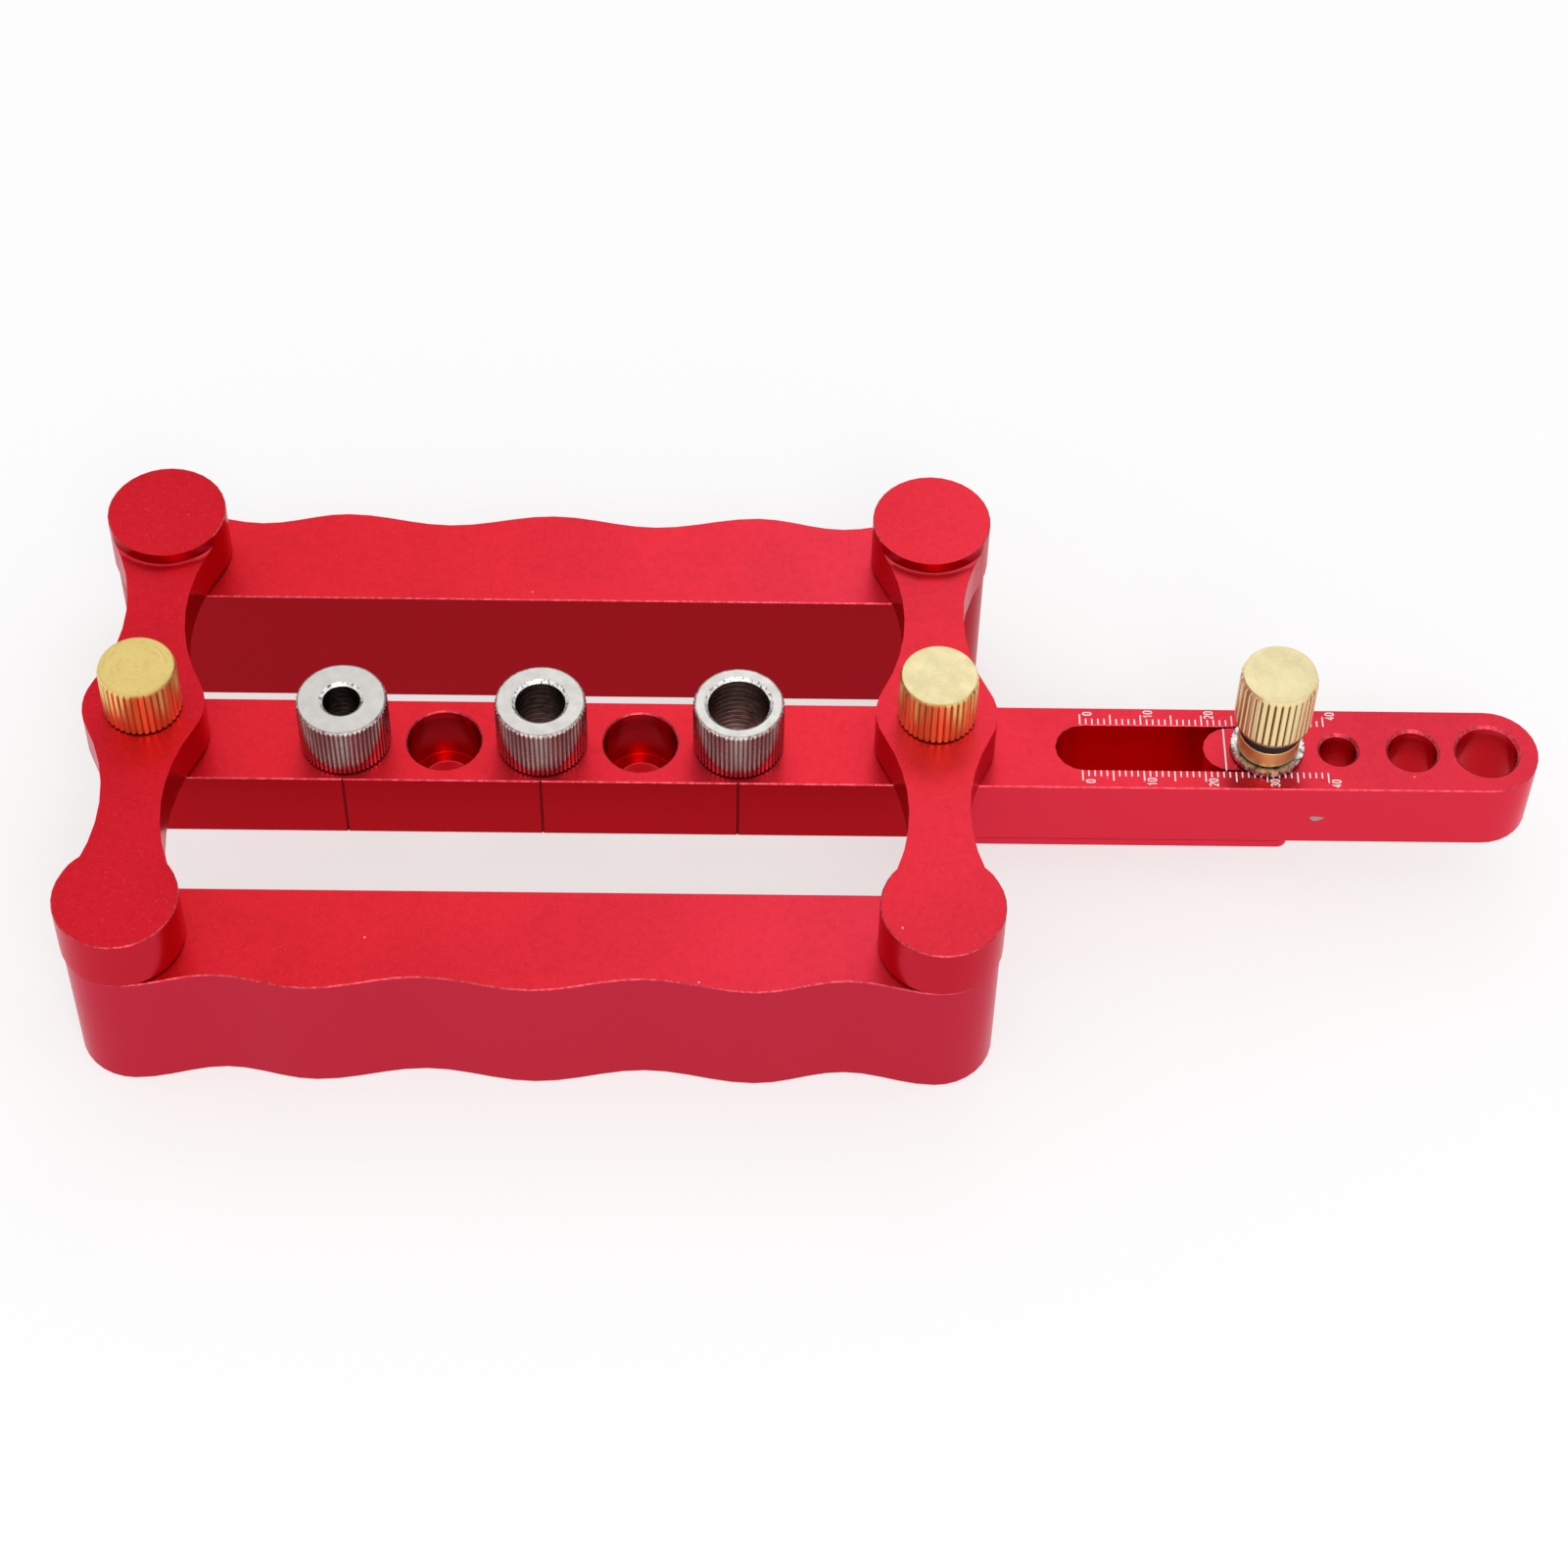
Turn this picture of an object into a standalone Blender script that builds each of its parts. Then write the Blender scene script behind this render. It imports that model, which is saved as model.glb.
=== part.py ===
"""Self-centring doweling jig in red anodised aluminium.

A slotted guide bar carries knurled drill bushings. Two waisted arms turn on the bar, and two
wavy-backed side plates hang under the arm ends. Bar, arms and plates form a parallelogram
linkage, so both plates always stay parallel to the bar and at the same distance from it.
The bar runs on past the right arm as a ruler with a T-shaped slider and three plain holes.

Units are metres, +Z is up. The origin is on the plates' undersides, in the middle of the
jig's length and width. Angle zero of the linkage is the wide open jig, arms square to the bar.
"""

import math

import bmesh
import bpy

# Linkage
PIVOT_SPREAD = 0.128          # between the two arm pivots, along the bar
ARM_REACH = 0.0398            # from an arm's centre pivot to the pivot at each end
EYE_RADIUS = 0.00985          # round eyes at the middle and the ends of an arm
WAIST_WIDTH = 0.0097          # an arm's narrowest width, midway between two eyes
ARM_THICKNESS = 0.0081
BOSS_RISE = 0.0022            # how far the end eyes stand above the arm's top
BOSS_FILLET = 0.0008

# Guide bar
BAR_WIDTH = 0.0166
BAR_THICKNESS = 0.0139
BUSHING_PITCH = 0.016         # between neighbouring stepped holes
STEPPED_HOLES = 5
SEAT_DIAMETER = 0.0121        # upper part of a stepped hole
SEAT_DEPTH = 0.0106
SEAT_CHAMFER = 0.00025
BUSHING_WAY_DIAMETER = 0.0104   # lower part of the holes that hold bushings here
EMPTY_WAY_DIAMETER = 0.0082     # lower part of the two empty holes
LOCK_THREAD_DIAMETER = 0.006
SCRIBE_WIDTH = 0.0004         # centre lines cut in the bar's sides under the bushings
SCRIBE_DEPTH = 0.0003

# Ruler end of the bar
SLOT_OFFSET = 0.0198          # from the right pivot to the slot's near end
SLOT_LENGTH = 0.0404
SLOT_WIDTH = 0.0093
END_HOLE_OFFSET = 0.0059      # from the slot's far end to the first plain hole's centre
END_HOLE_PITCH = 0.0122
END_HOLE_DIAMETERS = (0.0061, 0.0081, 0.0101)
SLOT_CHAMFER = 0.00012
HOLE_CHAMFER = 0.00045
BAR_END_OFFSET = 0.0084       # from the last plain hole's centre to the bar's tip
BAR_FOOT_CHAMFER = 0.0001     # the bar's lower edges are sharper than its upper ones

# Side plates
PLATE_HEIGHT = 0.0258
LOBE_RADIUS = 0.0095          # round plate ends; the inner face is tangent to them
WAVE_DEPTH = 0.0023           # finger grip waves on the outer face
WAVE_PITCH = 0.035            # between the three middle crests

# Pivot screws and washers under the plates
PIVOT_SHANK_DIAMETER = 0.005
PIVOT_HEAD_DIAMETER = 0.0084
PIVOT_HEAD_HEIGHT = 0.0045
HEX_KEY_WIDTH = 0.004
HEX_KEY_DEPTH = 0.0024
WASHER_THICKNESS = 0.0008
COUNTERBORE_DEPTH = 0.0066
THREAD_ENGAGEMENT = 0.007     # how far a pivot screw reaches into the arm
DRILL_POINT = 0.6             # depth of a blind hole's cone as a share of its radius

# Lock knobs
LOCK_KNOB_DIAMETER = 0.0127
LOCK_KNOB_HEIGHT = 0.0094
LOCK_KNOB_FLUTES = 37
LOCK_KNOB_CONE = 0.00075
LOCK_SHANK_DIAMETER = 0.0054
LOCK_SHANK_IN_BAR = 0.0115
ARM_BORE_DIAMETER = 0.0062

# Drill bushings
BUSHING_HEAD_DIAMETER = 0.0148
BUSHING_HEAD_HEIGHT = 0.0101
BUSHING_FLUTES = 58
BUSHING_CONE = 0.0006
BUSHING_BORES = {"6": 0.0062, "8": 0.0082, "10": 0.0101}
BUSHING_PLACES = {"6": -2, "8": 0, "10": 2}
BORE_CHAMFER = 0.0005

# Slider
BLOCK_LENGTH = 0.0148
BLOCK_DROP = 0.0001           # block's top below the bar's top
BASE_LENGTH = 0.053
BASE_THICKNESS = 0.0013
BASE_CORNER = 0.0018
BLOCK_INSET = 0.0002          # block's far end inside the base's end
SLIDER_PLAY = 0.0013          # free travel left towards the slot's far end
INDEX_OFFSET = 0.0036         # from the block's near end to its index line
INDEX_WIDTH = 0.0003
INDEX_DEPTH = 0.0003
SLIDER_WASHER_DIAMETER = 0.012
SLIDER_WASHER_TEETH = 24
SLIDER_WASHER_THICKNESS = 0.0009
TOOTH_DEPTH = 0.0003
TOOTH_CREST = (0.14, 0.86)    # where a tooth's crest starts and ends, as shares of its pitch
SLIDER_KNOB_DIAMETER = 0.0125
SLIDER_KNOB_HEIGHT = 0.0115
SLIDER_KNOB_FLUTES = 34
SLIDER_KNOB_CONE = 0.0011
SLIDER_KNOB_FOOT_CONE = 0.0013
COLLAR_DIAMETER = 0.0101
COLLAR_HEIGHT = 0.0034
COLLAR_CHAMFER = 0.0001
RING_THICKNESS = 0.0025       # section of the rubber ring
RING_CORNER = 0.0005          # the ring is squeezed to a rounded square section
RING_DIAMETER = 0.0104        # outside of the rubber ring
SLIDER_SHANK_DIAMETER = 0.0044
SLIDER_SHANK_IN_BLOCK = 0.0125

# Shared values
GAP = 0.0003                  # running and seating clearance between pieces
EDGE_BREAK = 0.0002           # small chamfer on machined edges
KNOB_LAND = 0.5               # share of a flute's pitch left on the full radius
KNOB_FLUTE_DEPTH = 0.0003
BUSHING_FLUTE_DEPTH = 0.00025
CONE_INSET = 0.00004          # a knurl's steep end cones reach this far inside the flutes' bottoms
OVERCUT = 0.001               # how far a cutter runs past the face it opens
ROUND = 32                    # sides of a large round
SMALL_ROUND = 16              # sides of a screw or a small hole
SHARP_ANGLE = 35              # degrees; shading breaks at edges sharper than this
RELIEF_OVERLAP = 2            # degrees by which the boss relief passes the arm's waist

# Places worked out from the sizes above
HALF_SPREAD = PIVOT_SPREAD / 2
SLOT_START = HALF_SPREAD + SLOT_OFFSET
SLOT_END = SLOT_START + SLOT_LENGTH
FIRST_END_HOLE = SLOT_END + END_HOLE_OFFSET
LAST_END_HOLE = FIRST_END_HOLE + (len(END_HOLE_DIAMETERS) - 1) * END_HOLE_PITCH
BAR_TIP = LAST_END_HOLE + BAR_END_OFFSET
LINK_X = -(BAR_TIP - HALF_SPREAD - EYE_RADIUS) / 2
DECK_Z = PLATE_HEIGHT         # tops of the bar and the plates
BAR_FOOT_Z = DECK_Z - BAR_THICKNESS
ARM_FOOT_Z = DECK_Z + GAP
ARM_TOP_Z = ARM_FOOT_Z + ARM_THICKNESS
BOSS_TOP_Z = ARM_TOP_Z + BOSS_RISE
ARM_X = {"left": LINK_X - HALF_SPREAD, "right": LINK_X + HALF_SPREAD}
ARM_END_Y = {"front": -ARM_REACH, "rear": ARM_REACH}
SLIDER_END_X = LINK_X + SLOT_END - SLIDER_PLAY
BLOCK_END_X = SLIDER_END_X - BLOCK_INSET
BLOCK_START_X = BLOCK_END_X - BLOCK_LENGTH
BLOCK_WIDTH = SLOT_WIDTH - 2 * GAP
KNOB_SETBACK = BLOCK_WIDTH / 2
SLIDER_X = BLOCK_END_X - KNOB_SETBACK

RED = (0.62, 0.012, 0.028)
BRASS = (0.72, 0.52, 0.2)
NICKEL = (0.62, 0.6, 0.57)
STEEL = (0.5, 0.49, 0.46)
BLACK = (0.012, 0.012, 0.013)


def clear_scene():
    """Remove every object that the file starts with."""
    for item in list(bpy.data.objects):
        bpy.data.objects.remove(item, do_unlink=True)


def make_material(name, color, roughness, metallic):
    """Return a Principled BSDF material."""
    material = bpy.data.materials.new(name)
    material.use_nodes = True
    shader = material.node_tree.nodes["Principled BSDF"]
    shader.inputs["Base Color"].default_value = (*color, 1.0)
    shader.inputs["Roughness"].default_value = roughness
    shader.inputs["Metallic"].default_value = metallic
    return material


def arc(center, radius, start, end, steps):
    """Points on an arc, from the start angle to the end angle, in degrees."""
    points = []
    for step in range(steps + 1):
        angle = math.radians(start + (end - start) * step / steps)
        points.append((center[0] + radius * math.cos(angle), center[1] + radius * math.sin(angle)))
    return points


def joined(*runs):
    """Chain runs of points into one closed outline, with doubled points left out."""
    outline = []
    for run in runs:
        for point in run:
            if not outline or math.dist(point, outline[-1]) > GAP / 100:
                outline.append(point)
    if math.dist(outline[0], outline[-1]) < GAP / 100:
        outline.pop()
    return outline


def inset(outline, distance):
    """Move a counter-clockwise outline inwards by a distance, with mitred corners."""
    moved = []
    for index, (x, y) in enumerate(outline):
        before = outline[index - 1]
        after = outline[(index + 1) % len(outline)]
        ax, ay = x - before[0], y - before[1]
        bx, by = after[0] - x, after[1] - y
        a_size, b_size = math.hypot(ax, ay), math.hypot(bx, by)
        nx = -(ay / a_size + by / b_size)
        ny = ax / a_size + bx / b_size
        size = math.hypot(nx, ny)
        reach = distance * 2 / size
        moved.append((x + nx / size * reach, y + ny / size * reach))
    return moved


def rounded_bar(start, end, half_width, steps):
    """Outline of a straight bar along X with full-round ends."""
    right = arc((end - half_width, 0), half_width, -90, 90, steps)
    left = arc((start + half_width, 0), half_width, 90, 270, steps)
    return joined(right, left)


def rounded_box(start, end, half_width, corner, steps):
    """Outline of a box along X with rounded corners."""
    runs = []
    for x, y, angle in (
        (end - corner, -half_width + corner, -90),
        (end - corner, half_width - corner, 0),
        (start + corner, half_width - corner, 90),
        (start + corner, -half_width + corner, 180),
    ):
        runs.append(arc((x, y), corner, angle, angle + 90, steps))
    return joined(*runs)


def add_skin(bm, rings):
    """Skin a stack of rings of (x, y, z) points, from the lowest up, with flat end caps."""
    skin = []
    for ring in rings:
        skin.append([bm.verts.new(point) for point in ring])
    for lower, upper in zip(skin, skin[1:]):
        for index in range(len(lower)):
            after = (index + 1) % len(lower)
            bm.faces.new((lower[index], lower[after], upper[after], upper[index]))
    bm.faces.new(list(reversed(skin[0])))
    bm.faces.new(skin[-1])


def add_stack(bm, layers):
    """Skin a stack of flat outlines, given as (outline, height) from the lowest up."""
    add_skin(bm, [[(x, y, height) for x, y in outline] for outline, height in layers])


def add_turned(bm, profile, sides, center=(0.0, 0.0)):
    """Turn a closed profile of (radius, height) points about a vertical axis.

    The profile runs up the outer side. A point of radius 0 becomes a single vertex on the axis.
    """
    rings = []
    for radius, height in profile:
        if radius == 0:
            rings.append([bm.verts.new((center[0], center[1], height))])
            continue
        ring = []
        for x, y in arc(center, radius, 0, 360, sides)[:-1]:
            ring.append(bm.verts.new((x, y, height)))
        rings.append(ring)
    for lower, upper in zip(rings, rings[1:] + rings[:1]):
        if len(lower) == 1 and len(upper) == 1:
            continue
        for index in range(sides):
            after = (index + 1) % sides
            if len(lower) == 1:
                bm.faces.new((lower[0], upper[after], upper[index]))
            elif len(upper) == 1:
                bm.faces.new((lower[index], lower[after], upper[0]))
            else:
                bm.faces.new((lower[index], lower[after], upper[after], upper[index]))


def chamfered_layers(outline, foot, top, foot_chamfer=EDGE_BREAK):
    """Layers of an extruded outline with both rims chamfered."""
    return [
        (inset(outline, foot_chamfer), foot),
        (outline, foot + foot_chamfer),
        (outline, top - EDGE_BREAK),
        (inset(outline, EDGE_BREAK), top),
    ]


def fluted_outline(radius, flutes, land, depth):
    """Outline of a knurled round with straight V flutes.

    The land is the share of each flute's pitch that stays on the full radius.
    """
    outline = []
    pitch = math.tau / flutes
    for flute in range(flutes):
        angle = flute * pitch
        if land > 0:
            steps = ((-land / 2, radius), (land / 2, radius), (0.5, radius - depth))
        else:
            steps = ((0.0, radius), (0.5, radius - depth))
        for share, reach in steps:
            turn = angle + share * pitch
            outline.append((reach * math.cos(turn), reach * math.sin(turn)))
    return outline


def knurled_rings(radius, flutes, land, depth, foot, top, cone, foot_cone=0.0):
    """Rings of a knurled head whose flutes run out in steep cones, given by their heights."""
    rim = radius - depth - CONE_INSET
    plain = []
    fluted = []
    for x, y in fluted_outline(radius, flutes, land, depth):
        reach = math.hypot(x, y)
        plain.append((x * rim / reach, y * rim / reach))
        fluted.append((x, y, (reach - rim) / (radius - rim)))
    rings = [[(x, y, foot) for x, y, _ in fluted]]
    if foot_cone > 0:
        rings = [[(x, y, foot) for x, y in plain]]
        rings.append([(x, y, foot + rise * foot_cone) for x, y, rise in fluted])
    rings.append([(x, y, top - rise * cone) for x, y, rise in fluted])
    rings.append([(x, y, top) for x, y in plain])
    return rings


def finish(name, bm, material=None, location=(0, 0, 0), parent=None, guide=False):
    """Turn a bmesh into an object, at a world location, under an optional parent."""
    mesh = bpy.data.meshes.new(name)
    bm.to_mesh(mesh)
    bm.free()
    mesh.shade_smooth()
    mesh.set_sharp_from_angle(angle=math.radians(SHARP_ANGLE))
    item = bpy.data.objects.new(name, mesh)
    bpy.context.scene.collection.objects.link(item)
    if material is not None:
        mesh.materials.append(material)
    place(item, location, parent)
    if guide:
        item.hide_render = True
        item.display_type = "WIRE"
    return item


def world_place(item):
    """World location of an object under parents that are only shifted."""
    x, y, z = item.location
    above = item.parent
    while above is not None:
        x, y, z = x + above.location[0], y + above.location[1], z + above.location[2]
        above = above.parent
    return x, y, z


def place(item, location, parent):
    """Put an object at a world location and hang it under its parent."""
    base = (0, 0, 0)
    if parent is not None:
        item.parent = parent
        base = world_place(parent)
    item.location = [there - here for there, here in zip(location, base)]


def axis_empty(name, location, parent=None):
    """An empty on a joint's axis."""
    empty = bpy.data.objects.new(name, None)
    empty.empty_display_size = EYE_RADIUS
    bpy.context.scene.collection.objects.link(empty)
    place(empty, location, parent)
    return empty


def combine(item, other, operation):
    """Add an exact Boolean modifier that cuts or joins another object."""
    modifier = item.modifiers.new(other.name, "BOOLEAN")
    modifier.operation = operation
    modifier.solver = "EXACT"
    modifier.object = other


def stepped_hole_profile(way_diameter):
    """Cutter for a bushing seat with a smaller way through to the work."""
    seat = SEAT_DIAMETER / 2
    way = way_diameter / 2
    ledge = DECK_Z - SEAT_DEPTH
    return [
        (0, BAR_FOOT_Z - OVERCUT),
        (way, BAR_FOOT_Z - OVERCUT),
        (way, ledge),
        (seat, ledge),
        (seat, DECK_Z - SEAT_CHAMFER),
        (seat + SEAT_CHAMFER + OVERCUT, DECK_Z + OVERCUT),
        (0, DECK_Z + OVERCUT),
    ]


def plain_hole_profile(diameter, chamfer):
    """Cutter for a hole through the bar with both mouths chamfered."""
    radius = diameter / 2
    mouth = radius + chamfer + OVERCUT
    return [
        (0, BAR_FOOT_Z - OVERCUT),
        (mouth, BAR_FOOT_Z - OVERCUT),
        (radius, BAR_FOOT_Z + chamfer),
        (radius, DECK_Z - chamfer),
        (mouth, DECK_Z + OVERCUT),
        (0, DECK_Z + OVERCUT),
    ]


def add_scribe_cutter(bm, x, side):
    """Cutter for one upright centre line in the bar's front (-1) or rear (+1) face."""
    face = side * BAR_WIDTH / 2
    groove = [
        (x - SCRIBE_WIDTH, face + side * SCRIBE_DEPTH),
        (x, face - side * SCRIBE_DEPTH),
        (x + SCRIBE_WIDTH, face + side * SCRIBE_DEPTH),
    ]
    if side > 0:
        groove.reverse()
    groove.reverse()
    add_stack(bm, [(groove, BAR_FOOT_Z - OVERCUT), (groove, DECK_Z + OVERCUT)])


def build_guide_bar(red):
    """The slotted bar with its bushing seats, lock threads, slot and plain end holes."""
    bm = bmesh.new()
    start = -HALF_SPREAD - BAR_WIDTH / 2
    outline = rounded_bar(start, BAR_TIP, BAR_WIDTH / 2, ROUND // 2)
    add_stack(bm, chamfered_layers(outline, BAR_FOOT_Z, DECK_Z, BAR_FOOT_CHAMFER))
    bar = finish("guide_bar", bm, red, (LINK_X, 0, 0))

    bm = bmesh.new()
    last = STEPPED_HOLES // 2
    for index in range(-last, last + 1):
        filled = index in BUSHING_PLACES.values()
        way = BUSHING_WAY_DIAMETER if filled else EMPTY_WAY_DIAMETER
        add_turned(bm, stepped_hole_profile(way), ROUND, (index * BUSHING_PITCH, 0))
    for x in (-HALF_SPREAD, HALF_SPREAD):
        add_turned(bm, plain_hole_profile(LOCK_THREAD_DIAMETER, EDGE_BREAK), SMALL_ROUND, (x, 0))
    for index, diameter in enumerate(END_HOLE_DIAMETERS):
        x = FIRST_END_HOLE + index * END_HOLE_PITCH
        add_turned(bm, plain_hole_profile(diameter, HOLE_CHAMFER), ROUND, (x, 0))
    slot = rounded_bar(SLOT_START, SLOT_END, SLOT_WIDTH / 2, SMALL_ROUND // 2)
    mouth = inset(slot, -SLOT_CHAMFER - OVERCUT)
    add_stack(bm, [
        (mouth, BAR_FOOT_Z - OVERCUT),
        (slot, BAR_FOOT_Z + SLOT_CHAMFER),
        (slot, DECK_Z - SLOT_CHAMFER),
        (mouth, DECK_Z + OVERCUT),
    ])
    for place_index in BUSHING_PLACES.values():
        for side in (-1, 1):
            add_scribe_cutter(bm, place_index * BUSHING_PITCH, side)
    cutters = finish("guide_bar_cutters", bm, location=(LINK_X, 0, 0), guide=True)
    combine(bar, cutters, "DIFFERENCE")
    return bar


def arm_outline():
    """Three round eyes joined by hollow waists, all tangent to each other."""
    half_waist = WAIST_WIDTH / 2
    half_reach = ARM_REACH / 2
    hollow = (half_reach ** 2 + half_waist ** 2 - EYE_RADIUS ** 2) / (2 * (EYE_RADIUS - half_waist))
    side = half_waist + hollow
    lean = math.degrees(math.atan2(half_reach, side))
    eye_steps = ROUND // 2 + 6
    waist_steps = 8
    small_steps = 6
    return lean, joined(
        arc((0, -ARM_REACH), EYE_RADIUS, 180 - lean, 360 + lean, eye_steps),
        arc((side, -half_reach), hollow, 180 + lean, 180 - lean, waist_steps),
        arc((0, 0), EYE_RADIUS, -lean, lean, small_steps),
        arc((side, half_reach), hollow, 180 + lean, 180 - lean, waist_steps),
        arc((0, ARM_REACH), EYE_RADIUS, -lean, 180 + lean, eye_steps),
        arc((-side, half_reach), hollow, lean, -lean, waist_steps),
        arc((0, 0), EYE_RADIUS, 180 - lean, 180 + lean, small_steps),
        arc((-side, -half_reach), hollow, lean, -lean, waist_steps),
    )


def add_boss_relief(bm, lean):
    """Cutter that lowers an arm between its end bosses and leaves a fillet at their feet."""
    turn = lean + RELIEF_OVERLAP
    outer = EYE_RADIUS * 2
    layers = []
    fillet_steps = 2
    for step in range(fillet_steps + 1):
        bend = math.radians(90 * step / fillet_steps)
        radius = EYE_RADIUS + BOSS_FILLET * (1 - math.sin(bend))
        height = ARM_TOP_Z + BOSS_FILLET * (1 - math.cos(bend))
        layers.append((radius, height))
    layers.append((EYE_RADIUS, BOSS_TOP_Z + OVERCUT))
    stack = []
    for radius, height in layers:
        front = arc((0, -ARM_REACH), radius, 180 - turn, turn, ROUND // 2)
        rear = arc((0, ARM_REACH), radius, -turn, turn - 180, ROUND // 2)
        outline = [(-outer, front[0][1])] + front + [(outer, front[-1][1])]
        outline += [(outer, rear[0][1])] + rear + [(-outer, rear[-1][1])]
        stack.append((outline, height))
    add_stack(bm, stack)


def build_arm(side, red):
    """One arm: centre eye on the bar's lock screw, a boss over a plate pivot at each end."""
    location = (ARM_X[side], 0, 0)
    lean, outline = arm_outline()
    bm = bmesh.new()
    add_stack(bm, chamfered_layers(outline, ARM_FOOT_Z, BOSS_TOP_Z))
    arm = finish(side + "_arm", bm, red, location)

    bm = bmesh.new()
    add_boss_relief(bm, lean)
    relief = finish(side + "_arm_relief", bm, location=location, guide=True)
    combine(arm, relief, "DIFFERENCE")

    bm = bmesh.new()
    bore = ARM_BORE_DIAMETER / 2
    add_turned(bm, [
        (0, ARM_FOOT_Z - OVERCUT),
        (bore, ARM_FOOT_Z - OVERCUT),
        (bore, BOSS_TOP_Z + OVERCUT),
        (0, BOSS_TOP_Z + OVERCUT),
    ], SMALL_ROUND)
    thread = PIVOT_SHANK_DIAMETER / 2 + GAP
    depth = ARM_FOOT_Z + THREAD_ENGAGEMENT + GAP
    for y in ARM_END_Y.values():
        add_turned(bm, [
            (0, ARM_FOOT_Z - OVERCUT),
            (thread, ARM_FOOT_Z - OVERCUT),
            (thread, depth),
            (0, depth + thread * DRILL_POINT),
        ], SMALL_ROUND, (0, y))
    holes = finish(side + "_arm_holes", bm, location=location, guide=True)
    combine(arm, holes, "DIFFERENCE")
    return arm


def wave_run(start, end):
    """Outer edge between two crests, from a higher X to a lower one."""
    crest = ARM_REACH + LOBE_RADIUS
    steps = 10
    points = []
    for step in range(steps + 1):
        share = step / steps
        dip = WAVE_DEPTH * (1 - math.cos(math.tau * share)) / 2
        points.append((start + (end - start) * share, crest - dip))
    return points


def plate_outline():
    """Straight inner face, round end lobes and a wavy outer edge, for the plate at +Y."""
    right = arc((HALF_SPREAD, ARM_REACH), LOBE_RADIUS, -90, 90, ROUND // 2)
    left = arc((-HALF_SPREAD, ARM_REACH), LOBE_RADIUS, 90, 270, ROUND // 2)
    crests = [HALF_SPREAD, WAVE_PITCH, 0.0, -WAVE_PITCH, -HALF_SPREAD]
    waves = [wave_run(start, end) for start, end in zip(crests, crests[1:])]
    return joined(right, *waves, left)


def build_plate(end, parent, hinge_x, red):
    """A side plate with two counterbored pivot holes; the front one is the rear one turned round."""
    side = 1 if end == "rear" else -1
    shift = LINK_X - hinge_x
    outline = []
    for x, y in plate_outline():
        outline.append((side * x + shift, side * (y - ARM_REACH)))
    location = (hinge_x, ARM_END_Y[end], 0)
    bm = bmesh.new()
    add_stack(bm, chamfered_layers(outline, 0, DECK_Z))
    plate = finish(end + "_plate", bm, red, location, parent)

    bm = bmesh.new()
    bore = PIVOT_SHANK_DIAMETER / 2 + GAP
    sink = PIVOT_HEAD_DIAMETER / 2 + 2 * GAP
    for x in (-HALF_SPREAD, HALF_SPREAD):
        add_turned(bm, [
            (0, -OVERCUT),
            (sink + EDGE_BREAK + OVERCUT, -OVERCUT),
            (sink, EDGE_BREAK),
            (sink, COUNTERBORE_DEPTH),
            (bore, COUNTERBORE_DEPTH),
            (bore, DECK_Z + OVERCUT),
            (0, DECK_Z + OVERCUT),
        ], SMALL_ROUND, (x + shift, 0))
    holes = finish(end + "_plate_holes", bm, location=location, parent=parent, guide=True)
    combine(plate, holes, "DIFFERENCE")
    return plate


def build_pivot(side, end, arm, steel):
    """A socket screw and its washer, put up through a plate into the arm."""
    location = (ARM_X[side], ARM_END_Y[end], 0)
    washer_top = COUNTERBORE_DEPTH - GAP
    washer_foot = washer_top - WASHER_THICKNESS
    head_top = washer_foot - GAP
    head_foot = head_top - PIVOT_HEAD_HEIGHT
    tip = ARM_FOOT_Z + THREAD_ENGAGEMENT
    shank = PIVOT_SHANK_DIAMETER / 2
    head = PIVOT_HEAD_DIAMETER / 2
    bm = bmesh.new()
    add_turned(bm, [
        (0, head_foot),
        (head - EDGE_BREAK, head_foot),
        (head, head_foot + EDGE_BREAK),
        (head, head_top),
        (shank, head_top),
        (shank, tip - EDGE_BREAK),
        (shank - EDGE_BREAK, tip),
        (0, tip),
    ], SMALL_ROUND)
    screw = finish(f"pivot_screw_{end}_{side}", bm, steel, location, arm)

    bm = bmesh.new()
    socket = arc((0, 0), HEX_KEY_WIDTH / math.sqrt(3), 0, 360, 6)[:-1]
    add_stack(bm, [(socket, head_foot - OVERCUT), (socket, head_foot + HEX_KEY_DEPTH)])
    key = finish(f"hex_socket_{end}_{side}", bm, location=location, parent=arm, guide=True)
    combine(screw, key, "DIFFERENCE")

    bm = bmesh.new()
    add_turned(bm, [
        (shank + GAP, washer_foot),
        (head, washer_foot),
        (head, washer_top),
        (shank + GAP, washer_top),
    ], SMALL_ROUND)
    finish(f"pivot_washer_{end}_{side}", bm, steel, location, arm)


def build_lock_knob(side, brass):
    """Knurled thumb screw that clamps an arm's centre eye to the bar."""
    location = (ARM_X[side], 0, 0)
    foot = ARM_TOP_Z + GAP
    radius = LOCK_KNOB_DIAMETER / 2
    shank = LOCK_SHANK_DIAMETER / 2
    tip = DECK_Z - LOCK_SHANK_IN_BAR
    bm = bmesh.new()
    top = foot + LOCK_KNOB_HEIGHT
    flutes = LOCK_KNOB_FLUTES
    add_skin(bm, knurled_rings(radius, flutes, KNOB_LAND, KNOB_FLUTE_DEPTH, foot, top, LOCK_KNOB_CONE))
    knob = finish(side + "_lock_knob", bm, brass, location)

    bm = bmesh.new()
    add_turned(bm, [
        (0, tip),
        (shank - EDGE_BREAK, tip),
        (shank, tip + EDGE_BREAK),
        (shank, (foot + top) / 2),
        (0, (foot + top) / 2),
    ], SMALL_ROUND)
    screw = finish(side + "_lock_screw", bm, location=location, guide=True)
    combine(knob, screw, "UNION")


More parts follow.
